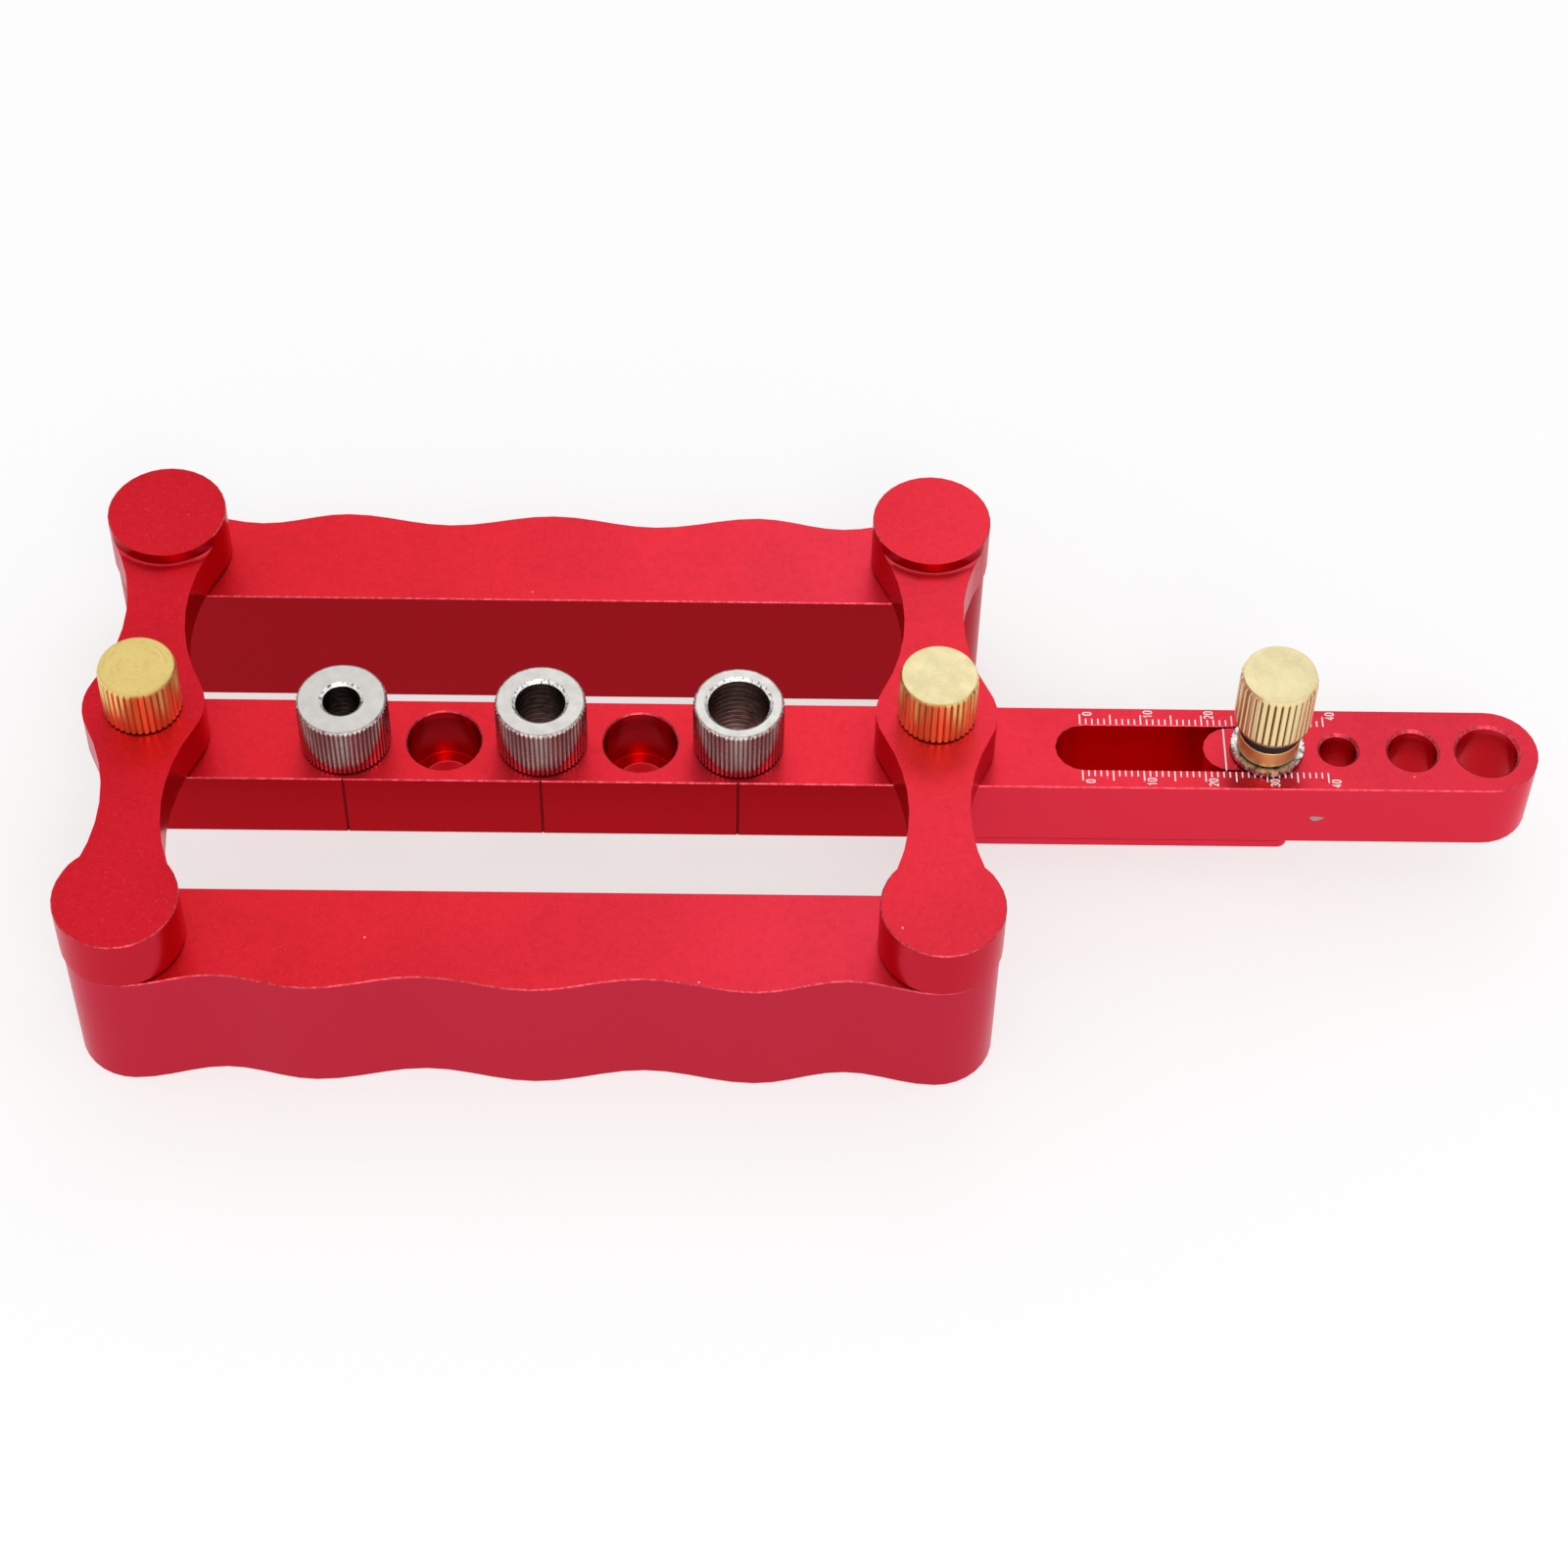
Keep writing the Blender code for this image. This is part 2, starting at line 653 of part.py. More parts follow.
def build_bushing(size, nickel):
    """Hardened drill bushing with a knurled head, standing in a stepped hole."""
    location = (LINK_X + BUSHING_PLACES[size] * BUSHING_PITCH, 0, 0)
    foot = DECK_Z + GAP
    top = foot + BUSHING_HEAD_HEIGHT
    tip = DECK_Z - SEAT_DEPTH + GAP
    radius = BUSHING_HEAD_DIAMETER / 2
    shank = SEAT_DIAMETER / 2 - GAP
    bore = BUSHING_BORES[size] / 2
    bm = bmesh.new()
    add_skin(bm, knurled_rings(radius, BUSHING_FLUTES, 0, BUSHING_FLUTE_DEPTH, foot, top, BUSHING_CONE))
    bushing = finish("drill_bushing_" + size, bm, nickel, location)

    bm = bmesh.new()
    add_turned(bm, [
        (0, tip),
        (shank - EDGE_BREAK, tip),
        (shank, tip + EDGE_BREAK),
        (shank, foot + BUSHING_HEAD_HEIGHT / 2),
        (0, foot + BUSHING_HEAD_HEIGHT / 2),
    ], ROUND)
    body = finish("bushing_shank_" + size, bm, location=location, guide=True)
    combine(bushing, body, "UNION")

    bm = bmesh.new()
    add_turned(bm, [
        (0, tip - OVERCUT),
        (bore, tip - OVERCUT),
        (bore, top - BORE_CHAMFER),
        (bore + BORE_CHAMFER + OVERCUT, top + OVERCUT),
        (0, top + OVERCUT),
    ], ROUND)
    hole = finish("bushing_bore_" + size, bm, location=location, guide=True)
    combine(bushing, hole, "DIFFERENCE")


def build_slider(red):
    """T-shaped slider: a flush block in the slot on a flat base under the bar."""
    location = (SLIDER_X, 0, 0)
    base_top = BAR_FOOT_Z - GAP
    base_foot = base_top - BASE_THICKNESS
    top = DECK_Z - BLOCK_DROP
    end = SLIDER_END_X - SLIDER_X
    bm = bmesh.new()
    base = rounded_box(end - BASE_LENGTH, end, BAR_WIDTH / 2, BASE_CORNER, 5)
    add_stack(bm, [(base, base_foot), (base, base_top)])
    slider = finish("slider", bm, red, location)

    bm = bmesh.new()
    block_start = BLOCK_START_X - SLIDER_X
    block_end = BLOCK_END_X - SLIDER_X
    block = rounded_bar(block_start, block_end, BLOCK_WIDTH / 2, SMALL_ROUND // 2)
    add_stack(bm, [(block, base_foot + BASE_THICKNESS / 2), (block, top)])
    body = finish("slider_block", bm, location=location, guide=True)
    combine(slider, body, "UNION")

    bm = bmesh.new()
    thread = SLIDER_SHANK_DIAMETER / 2 + GAP
    depth = DECK_Z - SLIDER_SHANK_IN_BLOCK - GAP
    add_turned(bm, [
        (0, depth),
        (thread, depth),
        (thread, top + OVERCUT),
        (0, top + OVERCUT),
    ], SMALL_ROUND)
    index_x = block_start + INDEX_OFFSET
    groove = [
        (index_x - INDEX_WIDTH / 2, -BLOCK_WIDTH),
        (index_x + INDEX_WIDTH / 2, -BLOCK_WIDTH),
        (index_x + INDEX_WIDTH / 2, BLOCK_WIDTH),
        (index_x - INDEX_WIDTH / 2, BLOCK_WIDTH),
    ]
    add_stack(bm, [(groove, top - INDEX_DEPTH), (groove, top + OVERCUT)])
    cuts = finish("slider_cutters", bm, location=location, guide=True)
    combine(slider, cuts, "DIFFERENCE")
    return slider


def build_slider_washer(slider, steel):
    """Toothed steel washer that bridges the slot under the slider's knob."""
    foot = DECK_Z + GAP
    top = foot + SLIDER_WASHER_THICKNESS
    outer = SLIDER_WASHER_DIAMETER / 2
    inner = SLIDER_SHANK_DIAMETER / 2 + GAP
    pitch = 360 / SLIDER_WASHER_TEETH
    outline = []
    hole = []
    steps = [(0.0, outer - TOOTH_DEPTH)] + [(share, outer) for share in TOOTH_CREST]
    for tooth in range(SLIDER_WASHER_TEETH):
        for share, radius in steps:
            angle = (tooth + share) * pitch
            outline += arc((0, 0), radius, angle, angle, 1)[:1]
            hole += arc((0, 0), inner, angle, angle, 1)[:1]
    bm = bmesh.new()
    rings = []
    for points, height in ((hole, foot), (outline, foot), (outline, top), (hole, top)):
        rings.append([bm.verts.new((x, y, height)) for x, y in points])
    for lower, upper in zip(rings, rings[1:] + rings[:1]):
        for index in range(len(lower)):
            after = (index + 1) % len(lower)
            bm.faces.new((lower[index], lower[after], upper[after], upper[index]))
    finish("slider_washer", bm, steel, (SLIDER_X, 0, 0), slider)
    return top


def build_slider_knob(slider, washer_top, brass, rubber):
    """Knurled thumb screw with a collar and a rubber ring in the groove between them."""
    location = (SLIDER_X, 0, 0)
    axis = axis_empty("slider_knob_axis", location, slider)
    collar_foot = washer_top + GAP
    collar_top = collar_foot + COLLAR_HEIGHT
    groove_top = collar_top + RING_THICKNESS + GAP
    head_top = groove_top + SLIDER_KNOB_HEIGHT
    collar = COLLAR_DIAMETER / 2
    groove = RING_DIAMETER / 2 - RING_THICKNESS - GAP / 2
    shank = SLIDER_SHANK_DIAMETER / 2
    tip = DECK_Z - SLIDER_SHANK_IN_BLOCK
    radius = SLIDER_KNOB_DIAMETER / 2
    bm = bmesh.new()
    flutes = SLIDER_KNOB_FLUTES
    add_skin(bm, knurled_rings(
        radius, flutes, KNOB_LAND, KNOB_FLUTE_DEPTH, groove_top, head_top,
        SLIDER_KNOB_CONE, SLIDER_KNOB_FOOT_CONE,
    ))
    knob = finish("slider_knob", bm, brass, location, axis)

    bm = bmesh.new()
    add_turned(bm, [
        (0, tip),
        (shank - EDGE_BREAK, tip),
        (shank, tip + EDGE_BREAK),
        (shank, collar_foot),
        (collar - EDGE_BREAK, collar_foot),
        (collar, collar_foot + EDGE_BREAK),
        (collar, collar_top - COLLAR_CHAMFER),
        (collar - COLLAR_CHAMFER, collar_top),
        (groove, collar_top),
        (groove, (groove_top + head_top) / 2),
        (0, (groove_top + head_top) / 2),
    ], ROUND - 8)
    core = finish("slider_knob_core", bm, location=location, parent=axis, guide=True)
    combine(knob, core, "UNION")

    bm = bmesh.new()
    reach = RING_THICKNESS / 2 - RING_CORNER
    middle = RING_DIAMETER / 2 - RING_THICKNESS / 2
    height = (collar_top + groove_top) / 2
    runs = []
    for side, rise, angle in ((1, -1, -90), (1, 1, 0), (-1, 1, 90), (-1, -1, 180)):
        center = (middle + side * reach, height + rise * reach)
        runs.append(arc(center, RING_CORNER, angle, angle + 90, 2))
    add_turned(bm, joined(*runs), ROUND - 8)
    finish("slider_o_ring", bm, rubber, location, axis)


def build_jig():
    """Build every piece of the jig."""
    red = make_material("red_anodised", RED, 0.36, 0.85)
    brass = make_material("knurled_brass", BRASS, 0.3, 1.0)
    nickel = make_material("nickel_steel", NICKEL, 0.28, 1.0)
    steel = make_material("plain_steel", STEEL, 0.35, 1.0)
    rubber = make_material("black_rubber", BLACK, 0.6, 0.0)

    build_guide_bar(red)
    arms = {side: build_arm(side, red) for side in ARM_X}
    build_plate("front", arms["left"], ARM_X["left"], red)
    build_plate("rear", arms["right"], ARM_X["right"], red)
    for side, arm in arms.items():
        for end in ARM_END_Y:
            build_pivot(side, end, arm, steel)
        build_lock_knob(side, brass)
    for size in BUSHING_BORES:
        build_bushing(size, nickel)
    slider = build_slider(red)
    washer_top = build_slider_washer(slider, steel)
    build_slider_knob(slider, washer_top, brass, rubber)


clear_scene()
build_jig()
bpy.context.view_layer.update()
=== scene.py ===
"""Looks for the doweling jig: camera, light, floor, finishes, printed scale and small marks.

Everything is in metres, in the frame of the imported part: +X along the guide bar towards its
ruled end, +Y towards the rear plate, +Z up. Textures work in millimetres.
"""

import math

import bmesh
import bpy
from mathutils import Matrix, Vector


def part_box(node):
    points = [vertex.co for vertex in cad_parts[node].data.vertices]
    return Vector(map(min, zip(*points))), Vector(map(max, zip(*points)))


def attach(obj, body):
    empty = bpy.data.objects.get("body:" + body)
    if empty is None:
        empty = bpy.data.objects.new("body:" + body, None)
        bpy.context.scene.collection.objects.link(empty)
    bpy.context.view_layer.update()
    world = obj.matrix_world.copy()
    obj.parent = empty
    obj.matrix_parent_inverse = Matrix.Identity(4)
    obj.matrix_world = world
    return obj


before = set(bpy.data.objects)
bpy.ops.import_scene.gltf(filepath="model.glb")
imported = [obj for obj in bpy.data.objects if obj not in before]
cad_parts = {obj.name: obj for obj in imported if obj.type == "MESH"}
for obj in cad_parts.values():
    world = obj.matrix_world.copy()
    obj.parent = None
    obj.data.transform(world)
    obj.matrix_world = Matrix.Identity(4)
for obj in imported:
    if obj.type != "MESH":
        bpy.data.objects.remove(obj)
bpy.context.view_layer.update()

MM = 0.001

# Camera, fitted to the scale marks, holes and round bosses in the photograph
PHOTO_SIDE = 1601
FOCAL_PIXELS = 3841.3
SENSOR_WIDTH = 36.0
CLIP_START = 0.01
CLIP_END = 100
CAMERA_FROM_SCALE_ZERO = (-0.055786, -0.381191, 0.481554)
CAMERA_PITCH = 52.240
CAMERA_YAW = 1.109
CAMERA_ROLL = 1.488

# Places on the jig, read from the CAD nodes
BAR_LOW, BAR_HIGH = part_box("guide_bar")
SLIDER_LOW, SLIDER_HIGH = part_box("slider")
BUSHING_LOW, BUSHING_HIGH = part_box("drill_bushing_8")
DECK_Z = BAR_HIGH.z
BAR_FOOT_Z = BAR_LOW.z
BAR_HALF_WIDTH = BAR_HIGH.y
LINK_X = (BUSHING_LOW.x + BUSHING_HIGH.x) / 2
SCALE_FROM_LINK = 88 * MM
SCALE_ZERO_X = LINK_X + SCALE_FROM_LINK

# Lamps, floor and world
KEY_PLACE = (LINK_X + 0.17, 0.85, 1.07)
KEY_SIZE = 0.45
KEY_POWER = 0.6
FILL_PLACE = (0.15, -0.85, 0.95)
FILL_SIZE = 0.5
FILL_POWER = 3.4
FLOOR_REACH = 6
FLOOR_FOOT = -0.02
FLOOR_TOP = -0.02 * MM
FLOOR_GREY = (0.42, 0.42, 0.42, 1)
FLOOR_GLOW = 0.61
WHITE = (1, 1, 1, 1)
WORLD_FILL = 0.75
WORLD_SEEN = 1.0

# Printed scale beside the slot
SCALE_LENGTH = 40
LONG_TICK_EVERY = 5
NUMBER_EVERY = 10
PRINT_THICKNESS = 0.02 * MM
STROKE_LAYER = PRINT_THICKNESS / 10
TICK_WIDTH = 0.23 * MM
TICK_START = 4.8 * MM
LONG_TICK_END = 6.85 * MM
SHORT_TICK_END = 5.95 * MM
DIGIT_HEIGHT = 1.58 * MM
DIGIT_WIDTH = 0.74 * MM
DIGIT_STROKE = 0.21 * MM
DIGIT_PITCH = 0.86 * MM
DIGIT_SHIFT = 1.24 * MM
DIGIT_ROW = 7.0 * MM
DIGIT_ARC_STEPS = 10
SHARPEST_MITRE = 0.5

# Index line on the slider's block
INDEX_FROM_END = 11.4 * MM
INDEX_HALF_LENGTH = 4.27 * MM
INDEX_WIDTH = 0.25 * MM
INDEX_DROP = 0.02 * MM
INDEX_FLOOR = 0.38 * MM

# Shim that closes the look of the gap between the bar and the slider's base
BASE_THICKNESS = 1.3 * MM
SHIM_THICKNESS = 0.28 * MM
BASE_CORNER = 1.8 * MM
BASE_CORNER_STEPS = 5

# Full radius of the knurls, in millimetres
BUSHING_RADIUS = 7.4
LOCK_KNOB_RADIUS = 6.35
SLIDER_KNOB_RADIUS = 6.25

# Reamed linings of the bushings, dark as painted shade in the bores, with a shallow helical tool mark
BORE_RADII = {"6": 3.1 * MM, "8": 4.1 * MM, "10": 5.05 * MM}
LINING_FIT = 0.994
LINING_THICKNESS = 0.03 * MM
LINING_TOP_DROP = 0.52 * MM
LINING_FOOT_RISE = 0.3 * MM
LINING_SIDES = 64
LINING_ROWS = 170
RIDGE_HEIGHT = 0.022 * MM
RIDGE_SHARE = 0.12
RIDGE_PITCH = 1.15 * MM
# Painted highlight on the tool mark, for each bore size
RIDGE_SHINE = {"6": 0.1, "8": 0.35, "10": 0.9}

# Depth of the stepped holes' seats, and rise of the bosses above the arms
SEAT_DEPTH = 10.6 * MM
BOSS_RISE = 2.2 * MM

# Dark lines of painted shade in the bar's centre marks
SCRIBE_PITCH = 32 * MM
SCRIBE_DEPTH = 0.3 * MM
SCRIBE_COVER = SCRIBE_DEPTH / 3
SCRIBE_WIDTH = 0.12 * MM

# Chip in the bar's front face; each wave of its outline has a size, a count and a phase
CHIP_FROM_LINK = 126.7 * MM
CHIP_FROM_DECK = 7.65 * MM
CHIP_SIZE = (1.05 * MM, 0.55 * MM)
CHIP_POINTS = 14
CHIP_WAVES = ((0.22, 3, 0.6), (0.12, 7, 0.0))

# Colours, as linear RGB
BLACK = (0.0, 0.0, 0.0)
RED = (0.70, 0.0187, 0.0316)
# Painted light: tones the flats take towards the ruled end, as if lit more from the right
RED_PAINTED_LIT = (0.645, 0.029, 0.052)
RED_PLATE_PAINTED_LIT = (0.69, 0.046, 0.088)
RED_ARM_PAINTED_LIT = (0.60, 0.029, 0.051)
RED_DEEP = (0.64, 0.014, 0.028)
# Painted shade: the left arm's flats, darker as the light falls from the right
RED_ARM_SHADED = (0.62, 0.0125, 0.0245)
# Painted shade on walls, with a tone for each plate; painted light on the walls at the ruled end
RED_WALL_SHADE = (0.45, 0.004, 0.009)
RED_FRONT_WALL_SHADE = (0.515, 0.0215, 0.0455)
RED_REAR_WALL_SHADE = (0.37, 0.0065, 0.0120)
RED_RULER_WALL_LIT = (0.70, 0.0267, 0.0547)
# Painted shade on the bosses' risers; painted light on their front walls
RED_RISER_SHADE = (0.30, 0.004, 0.009)
RED_BOSS_FRONT_LIT = (0.53, 0.014, 0.030)
# Painted shade on chamfered edges; a pale red for grain, worn nicks and print, and for painted highlights on
# nicks and fillets
RED_EDGE_SHADE = (0.27, 0.004, 0.009)
RED_WORN_AND_HIGHLIGHT = (0.82, 0.16, 0.20)
# Painted shade in the holes, their seats and the way; painted light on the ledges, the line above them and
# the slot
RED_HOLE_SHADE = (0.46, 0.004, 0.008)
RED_SEAT_SHADE = (0.25, 0.001, 0.003)
RED_LEDGE_LIT = (0.98, 0.008, 0.016)
RED_LEDGE_HIGHLIGHT = (0.98, 0.10, 0.12)
RED_WAY_SHADE = (0.50, 0.002, 0.005)
RED_SLOT_LIT = (0.66, 0.006, 0.014)
SPECK = (0.85, 0.62, 0.62)
BRASS_DEEP = ((0.74, 0.57, 0.20), (0.56, 0.40, 0.12))
BRASS_PALE = ((0.65, 0.57, 0.33), (0.58, 0.48, 0.25))
BRASS_GLINT = (0.84, 0.78, 0.50)
BRASS_SIDE = (0.90, 0.74, 0.40)
BRASS_SIDE_DEEP = (0.80, 0.60, 0.21)
BRASS_COLLAR = (0.62, 0.36, 0.14)
BRASS_GROOVE = (0.13, 0.06, 0.025)
BRASS_GROOVE_DEEP = (0.34, 0.13, 0.03)
NICKEL = (0.61, 0.585, 0.56)
# Painted reflection: the red tint of the flutes
NICKEL_SIDE_REFLECTION = (0.53, 0.34, 0.32)
NICKEL_GROOVE = (0.08, 0.05, 0.05)
NICKEL_RIM = (0.88, 0.87, 0.85)
NICKEL_DARK = (0.14, 0.12, 0.12)
# Painted shade darkens the bores, and a painted highlight brightens the tool mark
BORE_SHADE = (0.10, 0.085, 0.08)
BORE_LIGHT = (0.22, 0.17, 0.14)
BORE_BRIGHT = (0.62, 0.58, 0.54)
STEEL = (0.66, 0.64, 0.61)
STEEL_DARK = (0.10, 0.085, 0.08)
RUBBER = (0.014, 0.009, 0.008)
RUBBER_WORN = (0.05, 0.03, 0.026)
PRINT_WHITE = (0.95, 0.92, 0.92)
SCRIBE_SHADE_RED = (0.28, 0.006, 0.010)
CHIP_GREY = (0.50, 0.40, 0.38)

# Finishes. A noise pattern is its scale per millimetre, its detail and its roughness.
# A share or a rough is the two levels of a pattern between which it changes, then its values there.
# A lean is how far a face points up, from 0 on a wall to 1 on a flat, where a finish changes.
# A reach, a span or a height is in millimetres, from the place that its block names.
FLAT_LEAN = (0.8, 0.97)
WALL_LEAN = (0.4, 0.8)
SHEER_LEAN = (0.3, 0.5)

# Red anodising; the span of the painted light is along X, from the middle of the jig
PAINTED_LIGHT_SPAN = (-100, 120)
EDGE_LEAN_FROM = (0.55, 0.68)
EDGE_LEAN_UNTIL = (0.76, 0.9)
# Painted shade on the chamfered edges
EDGE_SHADE_STRENGTH = 0.6
EDGE_ROUGH = 0.15
GRAIN = (2.6, 4.0, 0.7)
GRAIN_SHARE = (0.56, 0.74, 0.0, 0.28)
GRAIN_ROUGH = (0.2, 0.8, -0.04, 0.05)
GRAIN_RELIEF = (0.03, 1.0)
GRAIN_DEPTH = 0.03 * MM
GRAIN_STRENGTH = 0.7
MOTTLE = (0.05, 3.0)
MOTTLE_SHARE = (0.3, 0.7, 0.0, 0.09)
BLOTCH = (0.8, 3.0, 0.65)
BLOTCH_SHARE = (0.4, 0.7, 0.0, 0.08)
# Nicks on the edges: partly wear and partly painted highlight
NICKS = (1.5, 4.0, 0.75)
NICK_SHARE = (0.42, 0.6, 0.1, 0.5)
DUST_SCALE = 0.13
DUST_SHARE = (0.014, 0.024, 0.7, 0.0)
RED_ROUGH = (0.26, 0.37)
RED_GLANCE = (1.0, 0.65, 0.7, 1.0)
COAT_WEIGHT = 0.03
COAT_ROUGH = 0.3

# Arms; spans are along Y from the middle, heights from the top of the waist
# Painted shade on the bosses' risers, a painted highlight along their fillets and painted light on their
# front walls
RISER_LEAN = (0.35, 0.6)
RISER_SHADE_STRENGTH = 0.75
RISER_HEIGHT = (0.02, 0.12)
FILLET_LEAN = (0.4, 0.9)
FILLET_BLUR = 0.2
FILLET_HIGHLIGHT_STRENGTH = 0.6
FILLET_HEIGHT = (0.5, 0.8)
RISER_SPAN = (34.0, 34.8)
BOSS_FRONT_SPAN = (-40.0, -37.0)
BOSS_FRONT_LIGHT_STRENGTH = 0.9

# Slider; the height is from the bar's deck
# Painted light on the slider's base inside the slot
SUNK_BASE_HEIGHT = (-3, -2)
SUNK_BASE_LIGHT_STRENGTH = 0.9

# Guide bar; spans are along X from the middle bushing, heights from the deck, the foot or a ledge
RULED_SPAN = (60, 72)
HOLES_SPAN = (-45, 160.3)
HOLES_BLUR = 0.4
HOLES_HALF_WIDTH = 6.8
TIP_SPAN = (155, 157)
TIP_HALF_WIDTH = 5.3
WIDTH_BLUR = (-0.2, 0.2)
FOOT_HEIGHT = (0.02, 0.12)
SUNK_HEIGHT = (-2, -1)
# Painted shade in the holes and painted light in the slot
SUNK_SHADE_AND_LIGHT_STRENGTH = 0.95
SLOT_SPAN = (82, 125.5)
SLOT_BLUR = 2.0
STEPPED_SPAN = (50, 52)
WAY_HEIGHT = (-0.2, -0.05)
LEDGE_LINE_HEIGHT = (-0.2, 0.15)
LEDGE_LINE_BLUR = 0.1
# Painted highlight on a line of the walls just above the ledges
LEDGE_HIGHLIGHT_STRENGTH = 0.5
TURNING_STRETCH = (0.25, 0.25, 6.0)
TURNING_TILT = (0.12, 0.1, 0.0)
TURNING = (1.0, 2.0)
TURNING_DEPTH = 0.035 * MM
TURNING_STRENGTH = 0.9
TURNING_GLOSS = 0.05

# Brass; a brush is a stretch and a turn, the height is from a knob's top, and a reach is from its
# axis, or from its full radius where it is below 0
TARNISH = (0.3, 4.0, 0.65)
TARNISH_SHARE = (0.35, 0.75, 0.0, 0.25)
TARNISH_ROUGH = (0.3, 0.7, 0.33, 0.42)
SPOTS = (1.9, 3.0, 0.6)
SPOT_SHARE = (0.66, 0.8, 0.0, 0.4)
SPOT_DEPTH = 0.008 * MM
SPOT_STRENGTH = 0.3
BRUSH = (1.0, 3.0)
BRUSHES = (((0.3, 4.5, 1.0), 0.6), ((0.35, 5.5, 1.0), -0.9))
DARK_BRUSH_SHARE = (0.56, 0.7, 0.0, 0.35)
GLINT_BRUSH_SHARE = (0.56, 0.72, 0.0, 0.3)
BRUSH_DEPTH = 0.006 * MM
BRUSH_STRENGTH = 0.6
SWIRL = (1.0, 4.0, 0.65)
SWIRL_RINGS = 2.6
SWIRL_STRETCH = (0.25, 0.25, 0.0)
SWIRL_SHARE = (0.5, 0.7, 0.0, 0.6)
LATHE_RINGS = 14.0
LATHE_RELIEF = 0.12
BORDER_REACH = (-0.56, -0.46)
BORDER_STRENGTH = 0.7
CENTER_REACH = (0.12, 0.22)
CENTER_STRENGTH = 0.8
CENTER_DEPTH = 0.1 * MM
CENTER_BUMP = -0.6
BRASS_TOP_HEIGHT = (-1.1, -0.6)
BRASS_GROOVE_REACH = (-0.26, -0.03)
BRASS_KNURL_REACH = (-0.6, -0.45)
COLLAR_ROUGH = 0.06
LOCK_GROOVE_DARKENING = 0.6
SLIDER_GROOVE_DARKENING = 0.85

# Nickel plate; the height is from a bushing's top, and a reach is from its bore, or from its full
# radius where it is below 0
FLUTE_LEAN = (0.1, 0.3)
# Painted reflection: how far the flutes take the red tint
FLUTE_REFLECTION_TINT = 0.85
FLUTE_GLOSS = 0.1
CLOUD = (0.5, 3.0)
CLOUD_SHARE = (0.3, 0.7, 0.0, 0.12)
CLOUD_ROUGH = (0.3, 0.7, 0.33, 0.4)
PITS = (3.4, 4.0, 0.7)
PIT_SHARE = (0.5, 0.7, 0.0, 0.3)
PIT_DEPTH = 0.008 * MM
PIT_STRENGTH = 0.5
GRINDING = (1.0, 3.0)
GRINDING_STRETCH = (1.0, 9.0, 1.0)
GRINDING_TURN = 0.3
GRINDING_DEPTH = 0.004 * MM
GRINDING_STRENGTH = 0.6
RIM_NICKS = (1.7, 4.0, 0.7)
RIM_NICK_SHARE = (0.5, 0.62)
RIM_DEPTH = 0.08 * MM
RIM_STRENGTH = 0.7
BUSHING_TOP_HEIGHT = (-0.8, -0.5)
BUSHING_GROOVE_REACH = (-0.23, -0.05)
BUSHING_GROOVE_STRENGTH = 0.9
BUSHING_KNURL_REACH = (-0.5, -0.4)
LIP_REACH = (0.42, 0.52)
LIP_BLUR = 0.06
OUTER_LIP_REACH = (-0.52, -0.44)
LIP_SHARE = (0.35, 0.6, 0.4, 0.9)

# Reamed bores, dark as painted shade; the span of the painted shine is along X from the bore's axis
SHINE_SPAN = (-1.5, 2.0)
BORE_CLOUD = (0.7, 3.0)
BORE_CLOUD_SHARE = (0.35, 0.65)
REAMING = (1.0, 3.0)
REAMING_STRETCH = (0.3, 0.3, 9.0)
REAMING_ROUGH = (0.3, 0.7, 0.2, 0.36)
REAMING_DEPTH = 0.02 * MM
REAMING_STRENGTH = 0.6

# Plain steel
GRIME = (0.75, 4.0, 0.7)
GRIME_SHARE = (0.44, 0.6, 0.0, 0.85)
SCUFFS = (2.4, 3.0, 0.6)
SCUFF_ROUGH = (0.3, 0.7, 0.2, 0.45)
SCUFF_DEPTH = 0.035 * MM
SCUFF_STRENGTH = 0.7

# Rubber, print and paint
PLAIN_DETAIL = (3.0, 0.6)
PLAIN_SHARE = (0.52, 0.8, 0.0, 0.5)
PLAIN_LEVELS = (0.3, 0.7)
PLAIN_ROUGH_SPREAD = 0.2
PLAIN_SPECULAR = 0.25
PLAIN_DEPTH = 0.008 * MM
PLAIN_STRENGTH = 0.5

# Shading of the CAD nodes
WELD_DISTANCE = 0.002 * MM
SHARP_ANGLE = 35


